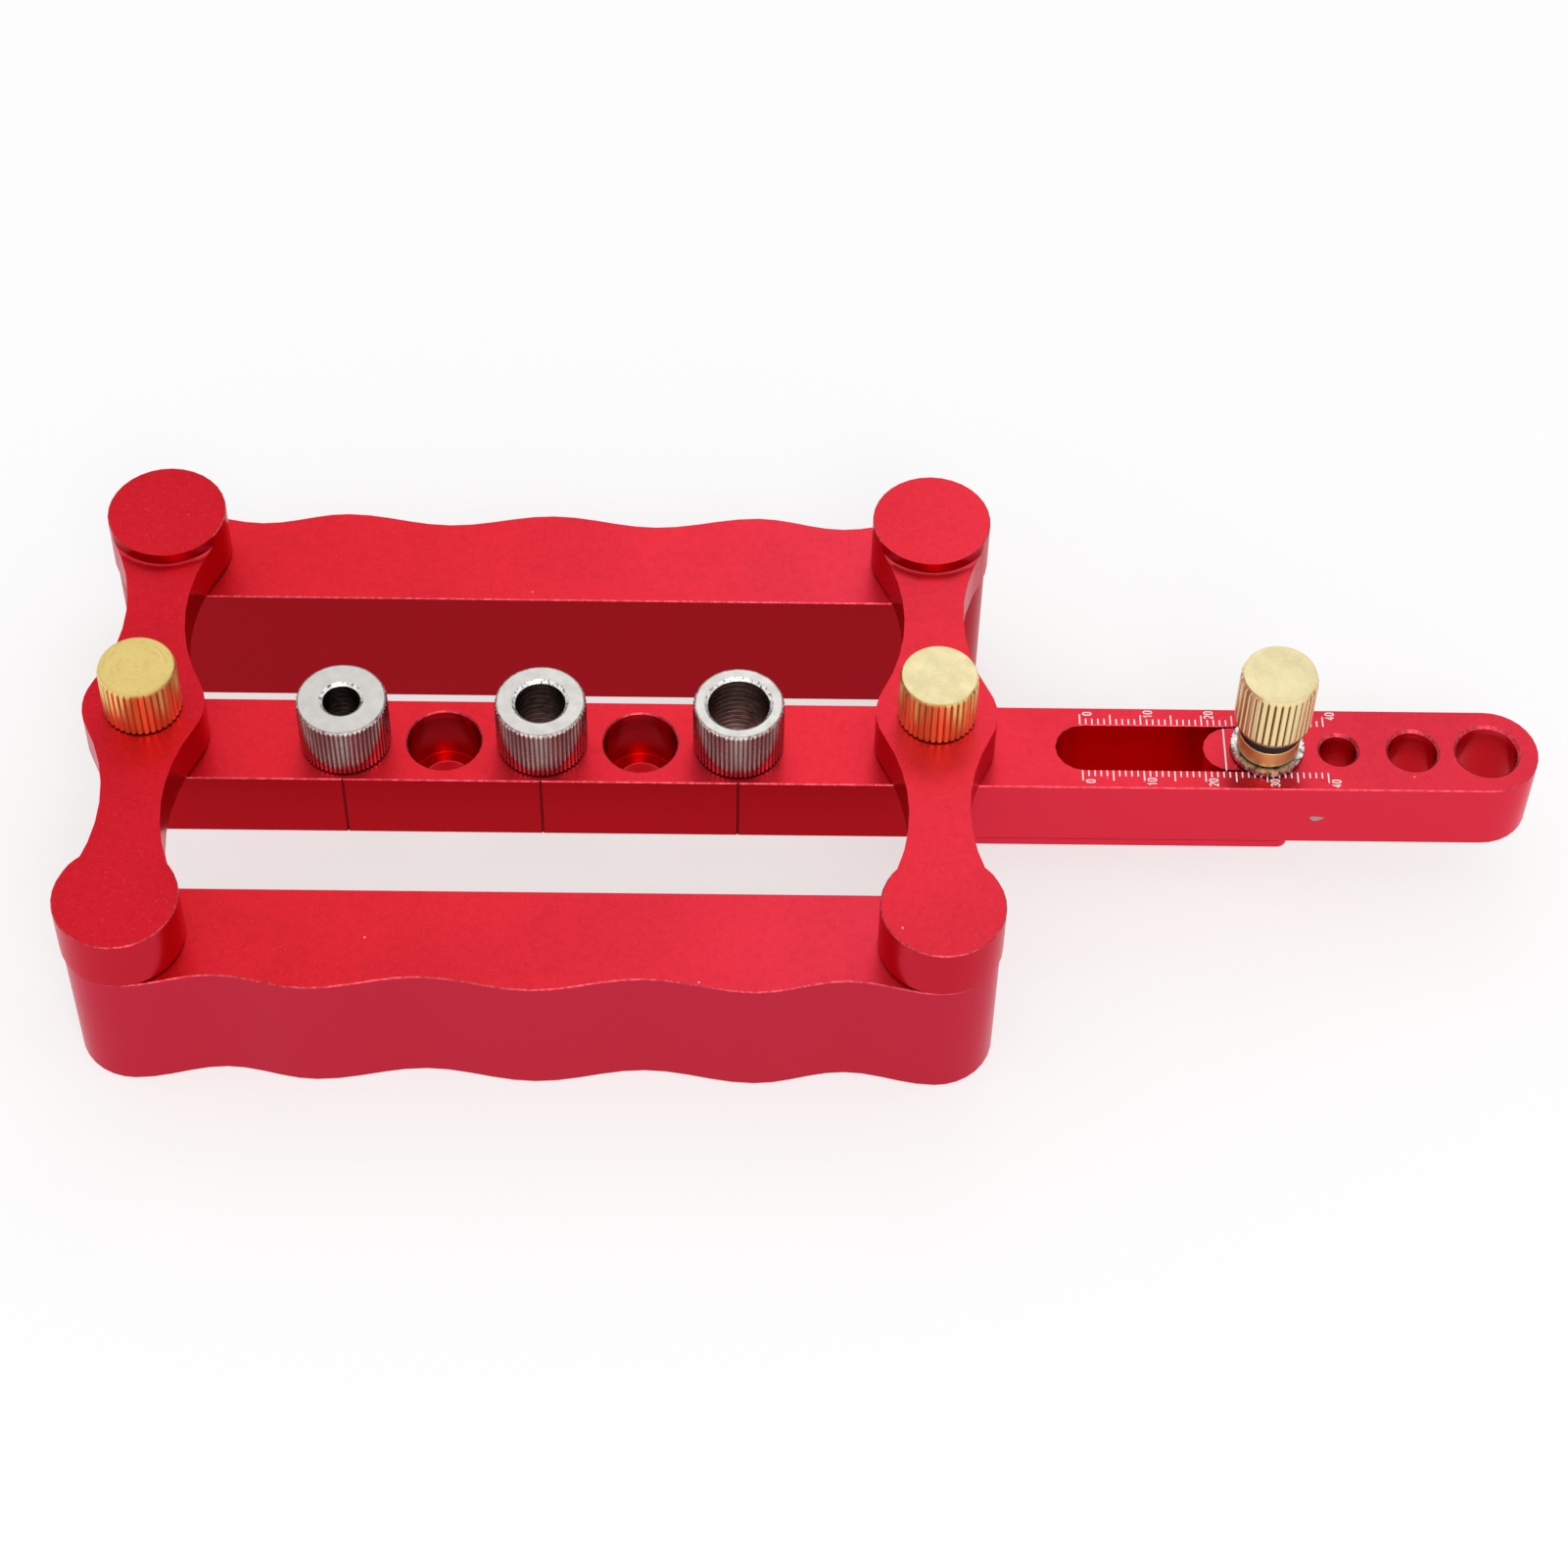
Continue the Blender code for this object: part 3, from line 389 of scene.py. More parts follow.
class Graph:
    """A few short ways to wire a node tree."""

    def __init__(self, tree):
        self.tree = tree

    def add(self, kind, inputs=None, **settings):
        """Add a node; an input is either a value or another node's output."""
        node = self.tree.nodes.new(kind)
        for name, value in settings.items():
            setattr(node, name, value)
        for name, value in (inputs or {}).items():
            if isinstance(value, bpy.types.NodeSocket):
                self.tree.links.new(value, node.inputs[name])
            else:
                node.inputs[name].default_value = value
        return node

    def math(self, operation, first, second=0.0, clamp=False):
        """A math node's output."""
        node = self.add("ShaderNodeMath", {0: first, 1: second}, operation=operation, use_clamp=clamp)
        return node.outputs[0]

    def times(self, *factors):
        """The product of several values."""
        total = factors[0]
        for factor in factors[1:]:
            total = self.math("MULTIPLY", total, factor)
        return total

    def inverse(self, value):
        """1 less a value."""
        return self.math("SUBTRACT", 1.0, value)

    def band(self, value, low, high, start=0.0, end=1.0):
        """Map a value smoothly from low..high to start..end."""
        node = self.add(
            "ShaderNodeMapRange",
            {"Value": value, "From Min": low, "From Max": high, "To Min": start, "To Max": end},
            interpolation_type="SMOOTHSTEP",
        )
        return node.outputs["Result"]

    def fade(self, value, low, high):
        """1 below low and 0 above high, with a smooth fall between them."""
        return self.band(value, low, high, 1.0, 0.0)

    def between(self, value, low, high, blur):
        """1 between two limits and 0 outside them, with blurred borders."""
        above = self.band(value, low - blur / 2, low + blur / 2)
        return self.times(above, self.fade(value, high - blur / 2, high + blur / 2))

    def mix(self, factor, first, second):
        """Mix two colours."""
        node = self.add("ShaderNodeMix", data_type="RGBA")
        for socket, value in ((node.inputs[0], factor), (node.inputs[6], first), (node.inputs[7], second)):
            if isinstance(value, bpy.types.NodeSocket):
                self.tree.links.new(value, socket)
            elif isinstance(value, tuple):
                socket.default_value = (*value, 1.0)
            else:
                socket.default_value = value
        return node.outputs[2]

    def noise(self, vector, scale, detail=2.0, roughness=0.5):
        """A noise texture's value."""
        node = self.add(
            "ShaderNodeTexNoise",
            {"Vector": vector, "Scale": scale, "Detail": detail, "Roughness": roughness},
        )
        return node.outputs["Fac"]

    def parts(self, vector):
        """A node that splits a vector into X, Y and Z."""
        return self.add("ShaderNodeSeparateXYZ", {"Vector": vector})

    def stretched(self, vector, scale, turn=(0.0, 0.0, 0.0)):
        """Coordinates that are turned and then scaled along each axis."""
        turned = self.add("ShaderNodeMapping", {"Vector": vector, "Rotation": turn})
        node = self.add("ShaderNodeMapping", {"Vector": turned.outputs["Vector"], "Scale": scale})
        return node.outputs["Vector"]

    def reach(self, vector, center):
        """Distance from an upright axis, in millimetres."""
        shift = (-center.x / MM, -center.y / MM, 0)
        moved = self.add("ShaderNodeMapping", {"Vector": vector, "Location": shift})
        flat = self.add("ShaderNodeMapping", {"Vector": moved.outputs["Vector"], "Scale": (1, 1, 0)})
        length = self.add("ShaderNodeVectorMath", {0: flat.outputs["Vector"]}, operation="LENGTH")
        return length.outputs["Value"]

    def bump(self, height, distance, strength, normal=None):
        """A bump node's normal."""
        inputs = {"Height": height, "Distance": distance, "Strength": strength}
        if normal is not None:
            inputs["Normal"] = normal
        return self.add("ShaderNodeBump", inputs).outputs["Normal"]


def shifted(limits, offset):
    """Limits moved by an offset."""
    return tuple(limit + offset for limit in limits)


def new_coords(graph):
    """Object coordinates in millimetres."""
    place = graph.add("ShaderNodeTexCoord").outputs["Object"]
    scaled = graph.add("ShaderNodeMapping", {"Vector": place, "Scale": (1 / MM, 1 / MM, 1 / MM)})
    return scaled.outputs["Vector"]


def new_material(name):
    """A material with a plain Principled shader, its graph, millimetre coordinates and normal."""
    material = bpy.data.materials.new(name)
    material.use_nodes = True
    graph = Graph(material.node_tree)
    shader = material.node_tree.nodes["Principled BSDF"]
    normal = graph.add("ShaderNodeTexCoord").outputs["Normal"]
    return material, graph, shader, new_coords(graph), normal


def link(graph, shader, **sockets):
    """Wire outputs to the shader's inputs; names use _ for a space."""
    for name, output in sockets.items():
        graph.tree.links.new(output, shader.inputs[name.replace("_", " ")])


def source_of(shader, name):
    """The output that is wired to one of the shader's inputs."""
    return shader.inputs[name].links[0].from_socket


def up_facing(graph, normal):
    """How far a surface faces straight up or down, from 0 to 1."""
    return graph.math("ABSOLUTE", graph.parts(normal).outputs["Z"])


def red_material(name, tones=(RED, RED_PAINTED_LIT), wall=RED_WALL_SHADE):
    """Satin red anodising: bead-blasted flats, walls in a painted shade or light of their own, chamfered
    edges in painted shade with nicks that are partly wear and partly painted highlight, and a few specks.

    Painted light makes the flats paler and rosier towards the ruled end.
    """
    material, graph, shader, coords, normal = new_material(name)
    up = up_facing(graph, normal)
    flat = graph.band(up, *FLAT_LEAN)
    edge = graph.times(graph.band(up, *EDGE_LEAN_FROM), graph.fade(up, *EDGE_LEAN_UNTIL))
    parts = graph.parts(coords)
    grain = graph.noise(coords, *GRAIN)
    mottle = graph.band(graph.noise(coords, *MOTTLE), *MOTTLE_SHARE)
    blotch = graph.band(graph.noise(coords, *BLOTCH), *BLOTCH_SHARE)
    nicks = graph.band(graph.noise(coords, *NICKS), *NICK_SHARE)
    dust = graph.add("ShaderNodeTexVoronoi", {"Vector": coords, "Scale": DUST_SCALE})
    specks = graph.band(dust.outputs["Distance"], *DUST_SHARE)

    # Painted light: the flats turn paler and rosier towards the ruled end, as if lit more from the right
    colour = graph.mix(graph.band(parts.outputs["X"], *PAINTED_LIGHT_SPAN), *tones)
    colour = graph.mix(graph.math("ADD", mottle, blotch), colour, BLACK)
    # Painted shade or light: walls take the wall colour, darker than the flats except at the ruled end
    colour = graph.mix(graph.fade(up, *WALL_LEAN), colour, wall)
    colour = graph.mix(graph.times(flat, graph.band(grain, *GRAIN_SHARE)), colour, RED_WORN_AND_HIGHLIGHT)
    # Painted shade along the chamfered edges
    colour = graph.mix(graph.times(edge, EDGE_SHADE_STRENGTH), colour, RED_EDGE_SHADE)
    # Nicks on the edges: partly wear and partly painted highlight
    colour = graph.mix(graph.times(edge, nicks), colour, RED_WORN_AND_HIGHLIGHT)
    colour = graph.mix(graph.times(flat, specks), colour, SPECK)

    rough = graph.math("ADD", graph.band(flat, 0.0, 1.0, *RED_ROUGH), graph.times(edge, EDGE_ROUGH))
    rough = graph.math("ADD", rough, graph.times(flat, graph.band(grain, *GRAIN_ROUGH)))
    relief = graph.times(grain, graph.band(flat, 0.0, 1.0, *GRAIN_RELIEF))
    surface = graph.bump(relief, GRAIN_DEPTH, GRAIN_STRENGTH)
    shader.inputs["Metallic"].default_value = 1.0
    shader.inputs["Specular Tint"].default_value = RED_GLANCE
    shader.inputs["Coat Weight"].default_value = COAT_WEIGHT
    shader.inputs["Coat Roughness"].default_value = COAT_ROUGH
    link(graph, shader, Base_Color=colour, Roughness=rough, Normal=surface)
    return material, graph, shader, (parts, up, flat)


def plain_red(name, **finish):
    """Red anodising without further marks."""
    return red_material(name, **finish)[0]


def arm_material(name, node_name, **finish):
    """Red anodising on an arm.

    Its bosses have risers in painted shade, a painted highlight along their fillets and front walls in
    painted light.
    """
    material, graph, shader, (parts, up, _) = red_material(name, **finish)
    y, z = parts.outputs["Y"], parts.outputs["Z"]
    waist_top = (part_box(node_name)[1].z - BOSS_RISE) / MM
    inner = graph.fade(graph.math("ABSOLUTE", y), *RISER_SPAN)
    raised = graph.times(inner, graph.band(z, *shifted(RISER_HEIGHT, waist_top)))
    low = graph.fade(z, *shifted(FILLET_HEIGHT, waist_top))
    riser = graph.times(raised, graph.fade(up, *RISER_LEAN))
    fillet = graph.times(raised, low, graph.between(up, *FILLET_LEAN, FILLET_BLUR))
    front = graph.times(graph.fade(y, *BOSS_FRONT_SPAN), graph.fade(up, *SHEER_LEAN))
    colour = source_of(shader, "Base Color")
    # Painted light on the bosses' front walls, painted shade on their risers and a painted highlight on their
    # fillets
    colour = graph.mix(graph.times(front, BOSS_FRONT_LIGHT_STRENGTH), colour, RED_BOSS_FRONT_LIT)
    colour = graph.mix(graph.times(riser, RISER_SHADE_STRENGTH), colour, RED_RISER_SHADE)
    colour = graph.mix(graph.times(fillet, FILLET_HIGHLIGHT_STRENGTH), colour, RED_WORN_AND_HIGHLIGHT)
    link(graph, shader, Base_Color=colour)
    return material


def slider_material(name):
    """Red anodising on the slider, with walls in the ruled end's painted light and a clean, bright red
    painted as light on the base inside the slot.
    """
    material, graph, shader, (parts, _, flat) = red_material(name, wall=RED_RULER_WALL_LIT)
    sunk = graph.fade(parts.outputs["Z"], *shifted(SUNK_BASE_HEIGHT, DECK_Z / MM))
    colour = source_of(shader, "Base Color")
    # Painted light: a clean, bright red on the base inside the slot
    colour = graph.mix(graph.times(sunk, flat, SUNK_BASE_LIGHT_STRENGTH), colour, RED_SLOT_LIT)
    link(graph, shader, Base_Color=colour)
    return material


def bar_material(name):
    """Red anodising on the bar, with turned holes and walls in painted light at the ruled end. Painted shade
    darkens the holes, deepest in the stepped seats, and the way below the ledges; painted light brightens the
    slot, the ledges and a line on the walls above them.
    """
    material, graph, shader, (parts, up, flat) = red_material(name)
    x, y, z = (parts.outputs[axis] for axis in "XYZ")
    deck = DECK_Z / MM
    foot = BAR_FOOT_Z / MM
    ledge = deck - SEAT_DEPTH / MM
    middle = LINK_X / MM
    wall = graph.fade(up, *SHEER_LEAN)
    ruled = graph.times(graph.band(x, *shifted(RULED_SPAN, middle)), graph.fade(up, *WALL_LEAN))
    half_width = graph.band(x, *shifted(TIP_SPAN, middle), HOLES_HALF_WIDTH, TIP_HALF_WIDTH)
    inside = graph.times(
        graph.fade(graph.math("SUBTRACT", graph.math("ABSOLUTE", y), half_width), *WIDTH_BLUR),
        graph.between(x, *shifted(HOLES_SPAN, middle), HOLES_BLUR),
        graph.band(z, *shifted(FOOT_HEIGHT, foot)),
    )
    sunk = graph.times(inside, graph.fade(z, *shifted(SUNK_HEIGHT, deck)))
    slot = graph.between(x, *shifted(SLOT_SPAN, middle), SLOT_BLUR)
    stepped = graph.fade(x, *shifted(STEPPED_SPAN, middle))
    way = graph.times(sunk, stepped, graph.fade(z, *shifted(WAY_HEIGHT, ledge)))
    line = graph.between(z, *shifted(LEDGE_LINE_HEIGHT, ledge), LEDGE_LINE_BLUR)

    # Painted light on the walls at the ruled end; painted shade in the holes, deepest in the stepped seats
    # and the way; painted light in the slot, on the ledges and on a line just above them
    colour = graph.mix(ruled, source_of(shader, "Base Color"), RED_RULER_WALL_LIT)
    hole_shade_and_slot_light = graph.mix(slot, graph.mix(stepped, RED_HOLE_SHADE, RED_SEAT_SHADE), RED_SLOT_LIT)
    colour = graph.mix(graph.times(sunk, SUNK_SHADE_AND_LIGHT_STRENGTH), colour, hole_shade_and_slot_light)
    colour = graph.mix(way, colour, RED_WAY_SHADE)
    colour = graph.mix(graph.times(sunk, stepped, flat), colour, RED_LEDGE_LIT)
    colour = graph.mix(graph.times(sunk, stepped, wall, line, LEDGE_HIGHLIGHT_STRENGTH), colour, RED_LEDGE_HIGHLIGHT)

    rings = graph.noise(graph.stretched(new_coords(graph), TURNING_STRETCH, TURNING_TILT), *TURNING)
    relief = graph.times(rings, inside, wall)
    surface = graph.bump(relief, TURNING_DEPTH, TURNING_STRENGTH, source_of(shader, "Normal"))
    gloss = graph.times(inside, wall, TURNING_GLOSS)
    rough = graph.math("SUBTRACT", source_of(shader, "Roughness"), gloss)
    link(graph, shader, Base_Color=colour, Roughness=rough, Normal=surface)
    return material


def swirl_noise(graph, coords, reach):
    """Noise that is drawn out into arcs around an axis."""
    flow = graph.parts(graph.stretched(coords, SWIRL_STRETCH))
    arcs = graph.add(
        "ShaderNodeCombineXYZ",
        {"X": graph.math("MULTIPLY", reach, SWIRL_RINGS), "Y": flow.outputs["X"], "Z": flow.outputs["Y"]},
    )
    return graph.noise(arcs.outputs["Vector"], *SWIRL)


def brass_material(node_name, colours, sides, radius, darkening):
    """Turned brass: a brushed, slightly tarnished top, faint lathe rings and darker flute grooves."""
    low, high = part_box(node_name)
    light, dark = colours
    side, groove_dark = sides
    material, graph, shader, coords, normal = new_material(node_name + "_brass")
    flat = graph.band(up_facing(graph, normal), *FLAT_LEAN)
    reach = graph.reach(coords, (low + high) / 2)
    tarnish = graph.noise(coords, *TARNISH)
    spots = graph.noise(coords, *SPOTS)
    brushed = [graph.stretched(coords, stretch, (0, 0, turn)) for stretch, turn in BRUSHES]
    one, two = (graph.noise(place, *BRUSH) for place in brushed)
    lathe = graph.math("SINE", graph.math("MULTIPLY", reach, LATHE_RINGS))
    center = graph.times(flat, graph.fade(reach, *CENTER_REACH))
    below = graph.fade(graph.parts(coords).outputs["Z"], *shifted(BRASS_TOP_HEIGHT, high.z / MM))
    groove = graph.times(below, graph.fade(reach, *shifted(BRASS_GROOVE_REACH, radius)))
    knurl = graph.band(reach, *shifted(BRASS_KNURL_REACH, radius))
    collar = graph.times(below, graph.inverse(knurl))

    colour = graph.mix(graph.band(tarnish, *TARNISH_SHARE), light, dark)
    for share, tone in (
        (graph.band(one, *DARK_BRUSH_SHARE), dark),
        (graph.band(two, *GLINT_BRUSH_SHARE), BRASS_GLINT),
        (graph.band(swirl_noise(graph, coords, reach), *SWIRL_SHARE), dark),
        (graph.band(reach, *shifted(BORDER_REACH, radius), 0.0, BORDER_STRENGTH), dark),
    ):
        colour = graph.mix(graph.times(flat, share), colour, tone)
    colour = graph.mix(flat, side, colour)
    colour = graph.mix(graph.times(flat, graph.band(spots, *SPOT_SHARE)), colour, dark)
    colour = graph.mix(graph.times(groove, knurl, darkening), colour, groove_dark)
    colour = graph.mix(collar, colour, BRASS_COLLAR)
    colour = graph.mix(graph.times(center, CENTER_STRENGTH), colour, dark)

    rough = graph.math("ADD", graph.band(tarnish, *TARNISH_ROUGH), graph.times(collar, COLLAR_ROUGH))
    rings = graph.math("MULTIPLY", lathe, LATHE_RELIEF)
    scratches = graph.math("ADD", graph.math("ADD", one, two), rings)
    surface = graph.bump(graph.times(scratches, flat), BRUSH_DEPTH, BRUSH_STRENGTH)
    surface = graph.bump(graph.times(spots, flat), SPOT_DEPTH, SPOT_STRENGTH, surface)
    surface = graph.bump(center, CENTER_DEPTH, CENTER_BUMP, surface)
    shader.inputs["Metallic"].default_value = 1.0
    link(graph, shader, Base_Color=colour, Roughness=rough, Normal=surface)
    return material


def nickel_material(size):
    """Nickel plate over a knurled bushing: a ground top, flutes with darker grooves and a painted red
    reflection, and bright, nicked rims.
    """
    low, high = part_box("drill_bushing_" + size)
    bore = BORE_RADII[size] / MM
    material, graph, shader, coords, normal = new_material("nickel_" + size)
    reach = graph.reach(coords, (low + high) / 2)
    up = up_facing(graph, normal)
    flat = graph.band(up, *FLAT_LEAN)
    side = graph.fade(up, *FLUTE_LEAN)
    cloud = graph.noise(coords, *CLOUD)
    pits = graph.noise(coords, *PITS)
    nicks = graph.noise(coords, *RIM_NICKS)
    grinding = graph.noise(graph.stretched(coords, GRINDING_STRETCH, (0, 0, GRINDING_TURN)), *GRINDING)
    below = graph.fade(graph.parts(coords).outputs["Z"], *shifted(BUSHING_TOP_HEIGHT, high.z / MM))
    groove = graph.fade(reach, *shifted(BUSHING_GROOVE_REACH, BUSHING_RADIUS))
    knurl = graph.band(reach, *shifted(BUSHING_KNURL_REACH, BUSHING_RADIUS))
    groove_dark = graph.times(side, below, groove, knurl, BUSHING_GROOVE_STRENGTH)
    rim = graph.times(graph.inverse(flat), graph.inverse(side), graph.inverse(below))
    inner_lip = graph.between(reach, *shifted(LIP_REACH, bore), LIP_BLUR)
    outer_lip = graph.band(reach, *shifted(OUTER_LIP_REACH, BUSHING_RADIUS))
    lips = graph.times(flat, graph.math("MAXIMUM", inner_lip, outer_lip), graph.band(nicks, *LIP_SHARE))

    # Painted reflection: the flutes take a red tint, as from the red parts around them
    colour = graph.mix(graph.times(side, FLUTE_REFLECTION_TINT), NICKEL, NICKEL_SIDE_REFLECTION)
    colour = graph.mix(graph.band(cloud, *CLOUD_SHARE), colour, NICKEL_DARK)
    colour = graph.mix(groove_dark, colour, NICKEL_GROOVE)
    colour = graph.mix(rim, colour, graph.mix(graph.band(nicks, *RIM_NICK_SHARE), NICKEL_RIM, NICKEL_DARK))
    colour = graph.mix(lips, colour, NICKEL_DARK)
    colour = graph.mix(graph.times(side, graph.band(pits, *PIT_SHARE)), colour, NICKEL_DARK)

    rough = graph.math("SUBTRACT", graph.band(cloud, *CLOUD_ROUGH), graph.times(side, FLUTE_GLOSS))
    surface = graph.bump(graph.times(grinding, flat), GRINDING_DEPTH, GRINDING_STRENGTH)
    surface = graph.bump(pits, PIT_DEPTH, PIT_STRENGTH, surface)
    surface = graph.bump(graph.times(nicks, rim), RIM_DEPTH, RIM_STRENGTH, surface)
    shader.inputs["Metallic"].default_value = 1.0
    link(graph, shader, Base_Color=colour, Roughness=rough, Normal=surface)
    return material


def bore_material(size):
    """Reamed bore of a drill bushing, dark as painted shade; a painted highlight makes the helical tool mark
    shine on its left.
    """
    low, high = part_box("drill_bushing_" + size)
    middle = (low + high) / 2
    material, graph, shader, coords, _ = new_material("reamed_bore_" + size)
    crest = (BORE_RADII[size] * LINING_FIT - LINING_THICKNESS - RIDGE_HEIGHT) / MM
    ridge = graph.fade(graph.reach(coords, middle), crest, crest + RIDGE_HEIGHT / MM)
    left = graph.fade(graph.parts(coords).outputs["X"], *shifted(SHINE_SPAN, middle.x / MM))
    cloud = graph.noise(coords, *BORE_CLOUD)
    rings = graph.noise(graph.stretched(coords, REAMING_STRETCH), *REAMING)
    # Painted shade: the bore is dark; a painted highlight lights the tool mark on its left
    colour = graph.mix(graph.band(cloud, *BORE_CLOUD_SHARE), BORE_SHADE, BORE_LIGHT)
    colour = graph.mix(graph.times(ridge, left, RIDGE_SHINE[size]), colour, BORE_BRIGHT)
    shader.inputs["Metallic"].default_value = 1.0
    link(
        graph, shader, Base_Color=colour, Roughness=graph.band(rings, *REAMING_ROUGH),
        Normal=graph.bump(rings, REAMING_DEPTH, REAMING_STRENGTH),
    )
    return material


def steel_material():
    """Plain zinc-plated steel with bright scuffs and dark grime."""
    material, graph, shader, coords, _ = new_material("steel")
    darkening = graph.noise(coords, *GRIME)
    scuffs = graph.noise(coords, *SCUFFS)
    shader.inputs["Metallic"].default_value = 1.0
    link(
        graph, shader, Base_Color=graph.mix(graph.band(darkening, *GRIME_SHARE), STEEL, STEEL_DARK),
        Roughness=graph.band(scuffs, *SCUFF_ROUGH), Normal=graph.bump(scuffs, SCUFF_DEPTH, SCUFF_STRENGTH),
    )
    return material


def plain_material(name, light, dark, scale, rough):
    """A mottled, non-metallic finish for rubber, print and paint."""
    material, graph, shader, coords, _ = new_material(name)
    cloud = graph.noise(coords, scale, *PLAIN_DETAIL)
    shader.inputs["Specular IOR Level"].default_value = PLAIN_SPECULAR
    link(
        graph, shader, Base_Color=graph.mix(graph.band(cloud, *PLAIN_SHARE), light, dark),
        Roughness=graph.band(cloud, *PLAIN_LEVELS, rough, rough + PLAIN_ROUGH_SPREAD),
        Normal=graph.bump(cloud, PLAIN_DEPTH, PLAIN_STRENGTH),
    )
    return material


def smoothing_group():
    """Geometry nodes that weld a CAD node's facets and shade them smooth up to an angle."""
    group = bpy.data.node_groups.new("smooth_by_angle", "GeometryNodeTree")
    for way in ("INPUT", "OUTPUT"):
        group.interface.new_socket("Geometry", in_out=way, socket_type="NodeSocketGeometry")
    graph = Graph(group)
    start = graph.add("NodeGroupInput")
    weld = graph.add(
        "GeometryNodeMergeByDistance",
        {"Geometry": start.outputs[0], "Distance": WELD_DISTANCE},
    )
    plain = graph.add(
        "GeometryNodeRemoveAttribute",
        {"Geometry": weld.outputs[0], "Name": "custom_normal"},
    )
    smooth = graph.add(
        "GeometryNodeSetShadeSmooth",
        {"Geometry": plain.outputs[0], "Shade Smooth": True},
        domain="FACE",
    )
    angle = graph.add("GeometryNodeInputMeshEdgeAngle")
    sharp = graph.add(
        "FunctionNodeCompare",
        {0: angle.outputs["Unsigned Angle"], 1: math.radians(SHARP_ANGLE)},
        operation="GREATER_THAN",
    )
    split = graph.add(
        "GeometryNodeSetShadeSmooth",
        {"Geometry": smooth.outputs[0], "Selection": sharp.outputs[0], "Shade Smooth": False},
        domain="EDGE",
    )
    graph.add("NodeGroupOutput", {0: split.outputs[0]})
    return group


def dress(node_names, material, group):
    """Give CAD nodes their finish and smooth shading that follows their large faces."""
    for name in node_names:
        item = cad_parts[name]
        item.data.materials.clear()
        item.data.materials.append(material)
        item.modifiers.new("smooth", "NODES").node_group = group
        even = item.modifiers.new("even_normals", "WEIGHTED_NORMAL")
        even.keep_sharp = True


def new_mesh_object(name, bm, material):
    """An object in the scene with a bmesh's faces and one material."""
    bmesh.ops.recalc_face_normals(bm, faces=bm.faces)
    mesh = bpy.data.meshes.new(name)
    bm.to_mesh(mesh)
    bm.free()
    mesh.materials.append(material)
    item = bpy.data.objects.new(name, mesh)
    bpy.context.scene.collection.objects.link(item)
    return item


def new_piece(name, bm, material, body, smooth=False):
    """Turn a bmesh in the row frame into a piece that rides on a body."""
    item = new_mesh_object(name, bm, material)
    if smooth:
        item.data.shade_smooth()
    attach(item, body)


def join_rings(bm, first, second):
    """Faces between two rings of as many vertices."""
    for index in range(len(first)):
        after = (index + 1) % len(first)
        bm.faces.new((first[index], first[after], second[after], second[index]))


def add_slab(bm, outline, low, high):
    """A flat slab between two heights."""
    lower = [bm.verts.new((x, y, low)) for x, y in outline]
    upper = [bm.verts.new((x, y, high)) for x, y in outline]
    join_rings(bm, lower, upper)
    bm.faces.new(list(reversed(lower)))
    bm.faces.new(upper)


def box_outline(x0, x1, y0, y1):
    """Corners of a rectangle."""
    return [(x0, y0), (x1, y0), (x1, y1), (x0, y1)]


def line_outline(x, width, y0, y1):
    """Corners of a narrow rectangle around a line across the bar."""
    return box_outline(x - width / 2, x + width / 2, y0, y1)


def oval(center, half_width, half_height, start, end, steps):
    """Points on part of an ellipse, between two angles in degrees."""
    points = []
    for step in range(steps + 1):
        angle = math.radians(start + (end - start) * step / steps)
        points.append((center[0] + half_width * math.cos(angle), center[1] + half_height * math.sin(angle)))
    return points


def digit_strokes(digit):
    """Centre lines of a digit in a cell from (-1, -1) to (1, 1)."""
    if digit == "0":
        upper = oval((0, 0.45), 1, 0.55, 0, 180, DIGIT_ARC_STEPS)
        lower = oval((0, -0.45), 1, 0.55, 180, 360, DIGIT_ARC_STEPS)
        return [upper + lower[:-1] + upper[:1]]
    if digit == "1":
        return [[(-0.7, 0.45), (0.25, 1.0), (0.25, -1.0)]]
    if digit == "2":
        bowl = oval((0, 0.5), 1, 0.5, 170, -30, DIGIT_ARC_STEPS)
        return [bowl + [(-1.0, -1.0), (1.0, -1.0)]]
    if digit == "3":
        upper = oval((0, 0.52), 0.9, 0.48, 165, -90, DIGIT_ARC_STEPS)
        lower = oval((0, -0.48), 1.0, 0.52, 90, -165, DIGIT_ARC_STEPS)
        return [upper + lower[1:]]
    return [[(0.4, -1.0), (0.4, 1.0), (-1.0, -0.4)], [(-1.0, -0.4), (1.0, -0.4)]]


def neighbours(points, index, closed):
    """The points before and after one of a line's; an open line is carried on past its ends."""
    x, y = points[index]
    count = len(points)
    if closed or index > 0:
        before = points[index - 1]
    else:
        before = (2 * x - points[1][0], 2 * y - points[1][1])
    if closed or index < count - 1:
        after = points[(index + 1) % count]
    else:
        after = (2 * x - before[0], 2 * y - before[1])
    return before, after


